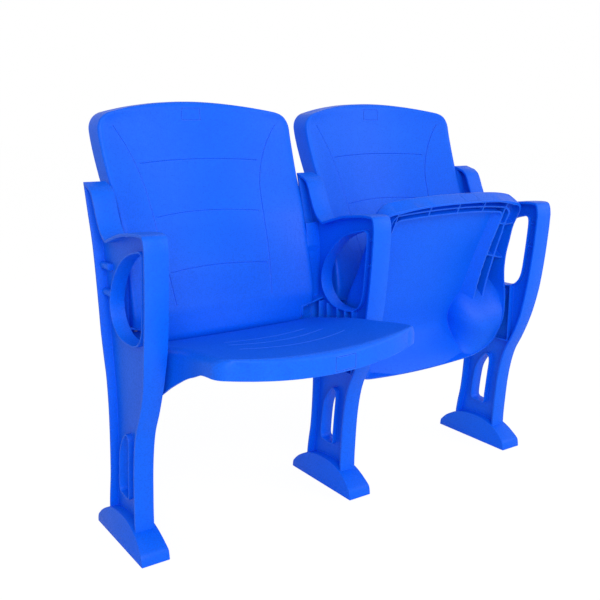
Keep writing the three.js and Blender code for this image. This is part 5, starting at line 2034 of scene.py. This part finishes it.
@dataclass
class Hardware:
    """The row's screws, washers, pins, bushes and buffers."""

    head_radius: float = 5.0
    head_height: float = 4.0
    washer_radius: float = 6.4
    washer_thickness: float = 1.2

    def back_screws(self, shop: Workshop, back: Backrest, post: Stanchion) -> Thing:
        """The screws and washers that hold the backs to the stanchions' rear flanges.

        Args:
            shop: finishes and places the piece.
            back: a back.
            post: a stanchion.

        Returns:
            The piece.
        """
        places, nodes = [], []
        for seat, x in (("left", -ROW.pitch / 2), ("right", ROW.pitch / 2)):
            for end, side in (("left", -1), ("right", 1)):
                for level, z in zip(("lower", "upper"), ROW.screw_heights):
                    places.append((x + side * ROW.screw_x, back.lug_rear(post, z), z))
                    nodes += [f"back_{thing}_{level}_{seat}_seat_{end}" for thing in ("screw", "washer")]
        shank = min(back.lug_rear(post, z) - ROW.screw_tip(z) for z in ROW.screw_heights)
        screws = screw_tree().run(
            np.array(places), [], Shank_Radius=ROW.screw_shank, Shank_Length=shank,
            Washer_Radius=self.washer_radius, Washer_Thickness=self.washer_thickness, Head_Radius=self.head_radius,
            Head_Height=self.head_height, Gap=ROW.gap, Finish=shop.finishes.of(Slot.STEEL))
        return shop.place("back_screws_and_washers", screws, Slot.STEEL, "row", nodes)

    def dress(self, shop: Workshop, nodes: dict[str, Thing]) -> None:
        """Gives the small CAD pieces that stay their finishes.

        Args:
            shop: finishes and places the piece.
            nodes: the CAD pieces by name.
        """
        slots = {"pivot_pin": Slot.STEEL, "wing_screw": Slot.STEEL, "back_": Slot.STEEL, "pivot_bush": Slot.NYLON,
                 "friction_washer": Slot.NYLON, "stop_buffer": Slot.RUBBER}
        for name, node in nodes.items():
            slot = next((s for prefix, s in slots.items() if name.startswith(prefix)), Slot.PLASTIC)
            for place in node.material_slots:
                place.material = shop.finishes.of(slot)


@dataclass(frozen=True)
class Lamp:
    """A square soft lamp, in metres and watts."""

    name: str
    place: Triple
    side: float
    power: float


@dataclass
class Studio:
    """Plain pale floor, soft light and the photograph's camera, in metres, degrees and millimetres of lens."""

    camera_place: Triple = (-1.0581, -1.4323, 0.8310)
    level: float = 90.0
    pitch: float = 12.455
    yaw: float = 34.189
    roll: float = 0.10
    lens: float = 48.19
    sensor: float = 36.0
    floor_side: float = 60.0
    floor_colour: str = "#F4F4F4"
    floor_roughness: float = 0.9
    floor_glow: float = 1.05
    floor_glow_share: float = 0.9
    sky: float = 0.54
    aim: Triple = (0.0, 0.0, 0.45)
    lamps: tuple[Lamp, ...] = (Lamp("key", (-1.6, -3.4, 1.9), 2.4, 98.0), Lamp("fill", (2.6, -2.4, 1.8), 2.0, 32.0))

    def floor(self) -> None:
        """A white floor that keeps a soft shadow."""
        half = self.floor_side / 2
        mesh = bpy.data.meshes.new("floor")
        places = [(-half, -half, 0), (half, -half, 0), (half, half, 0), (-half, half, 0)]
        mesh.from_pydata(places, [], [(0, 1, 2, 3)])
        floor = bpy.data.objects.new("floor", mesh)
        bpy.context.scene.collection.objects.link(floor)
        material, tree, shader, _ = new_surface("matt white floor")
        shader.inputs["Base Color"].default_value = linear(self.floor_colour)
        shader.inputs["Roughness"].default_value = self.floor_roughness
        rays = add_node(tree, "ShaderNodeLightPath")
        white = add_node(tree, "ShaderNodeEmission", {"Color": WHITE, "Strength": self.floor_glow})
        seen = add_node(tree, "ShaderNodeMath", {"operation": "MULTIPLY", 1: self.floor_glow_share},
                        {0: rays.outputs["Is Camera Ray"]})
        mix = add_node(tree, "ShaderNodeMixShader",
                       links={0: seen.outputs[0], 1: shader.outputs[0], 2: white.outputs[0]})
        output = next(n for n in tree.nodes if n.type == "OUTPUT_MATERIAL")
        tree.links.new(mix.outputs[0], output.inputs["Surface"])
        mesh.materials.append(material)

    def world(self) -> None:
        """A soft pale sky that is white to the camera, to gloss and to glass."""
        world = bpy.data.worlds.new("studio")
        world.use_nodes = True
        tree = world.node_tree
        tree.nodes.clear()
        rays = add_node(tree, "ShaderNodeLightPath")
        sharp = add_node(tree, "ShaderNodeMath", {"operation": "MAXIMUM"},
                         {0: rays.outputs["Is Camera Ray"], 1: rays.outputs["Is Transmission Ray"]})
        seen = add_node(tree, "ShaderNodeMath", {"operation": "MAXIMUM"},
                        {0: sharp.outputs[0], 1: rays.outputs["Is Glossy Ray"]})
        soft = add_node(tree, "ShaderNodeBackground", {"Color": WHITE, "Strength": self.sky})
        white = add_node(tree, "ShaderNodeBackground", {"Color": WHITE, "Strength": 1.0})
        mix = add_node(tree, "ShaderNodeMixShader",
                       links={0: seen.outputs[0], 1: soft.outputs[0], 2: white.outputs[0]})
        add_node(tree, "ShaderNodeOutputWorld", links={"Surface": mix.outputs[0]})
        bpy.context.scene.world = world

    def light(self, lamp: Lamp) -> None:
        """Hangs a lamp and aims it at the row.

        Args:
            lamp: the lamp.
        """
        light = bpy.data.lights.new(lamp.name, "AREA")
        light.size = lamp.side
        light.energy = lamp.power
        thing = bpy.data.objects.new(lamp.name, light)
        turn = (Vector(self.aim) - Vector(lamp.place)).to_track_quat("-Z", "Y").to_matrix().to_4x4()
        thing.matrix_world = Matrix.Translation(lamp.place) @ turn
        bpy.context.scene.collection.objects.link(thing)

    def camera(self) -> None:
        """The camera that the photograph was taken with."""
        data = bpy.data.cameras.new("camera")
        data.lens, data.sensor_width = self.lens, self.sensor
        camera = bpy.data.objects.new("camera", data)
        # A camera looks straight down until it is turned up to the level.
        turn = rotation(-self.yaw, "Z") @ rotation(self.level - self.pitch, "X") @ rotation(-self.roll, "Z")
        camera.matrix_world = Matrix.Translation(self.camera_place) @ turn
        bpy.context.scene.collection.objects.link(camera)
        bpy.context.scene.camera = camera

    def build(self) -> None:
        """Sets up the floor, light and camera."""
        self.floor()
        self.world()
        for lamp in self.lamps:
            self.light(lamp)
        self.camera()
        bpy.context.scene.view_settings.view_transform = "Standard"
        LOG.info("studio ready")


def main() -> None:
    """Builds the row's pieces and the studio."""
    logging.basicConfig(level=logging.INFO, format="%(name)s: %(message)s")
    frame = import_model()
    shop = Workshop(Finishes())
    half = ROW.pitch / 2
    posts = [Stanchion("left", -ROW.pitch, (1,)), Stanchion("middle", 0.0, (-1, 1)),
             Stanchion("right", ROW.pitch, (-1,))]
    groove, cross_ribs = groove_tree(), cross_rib_tree()
    backs = [Backrest("left", -half, groove), Backrest("right", half, groove)]
    seats = [SeatPan("left", -half, 0.0, cross_ribs, groove),
             SeatPan("right", half, ROW.tip_up, cross_ribs, groove)]
    hardware = Hardware()
    hardware.dress(shop, frame["nodes"])
    for post in posts:
        post.build(shop)
    for back in backs:
        back.build(shop, posts[1])
    for seat in seats:
        seat.build(shop)
    hardware.back_screws(shop, backs[0], posts[1])
    Studio().build()


if __name__ == "__main__":
    main()
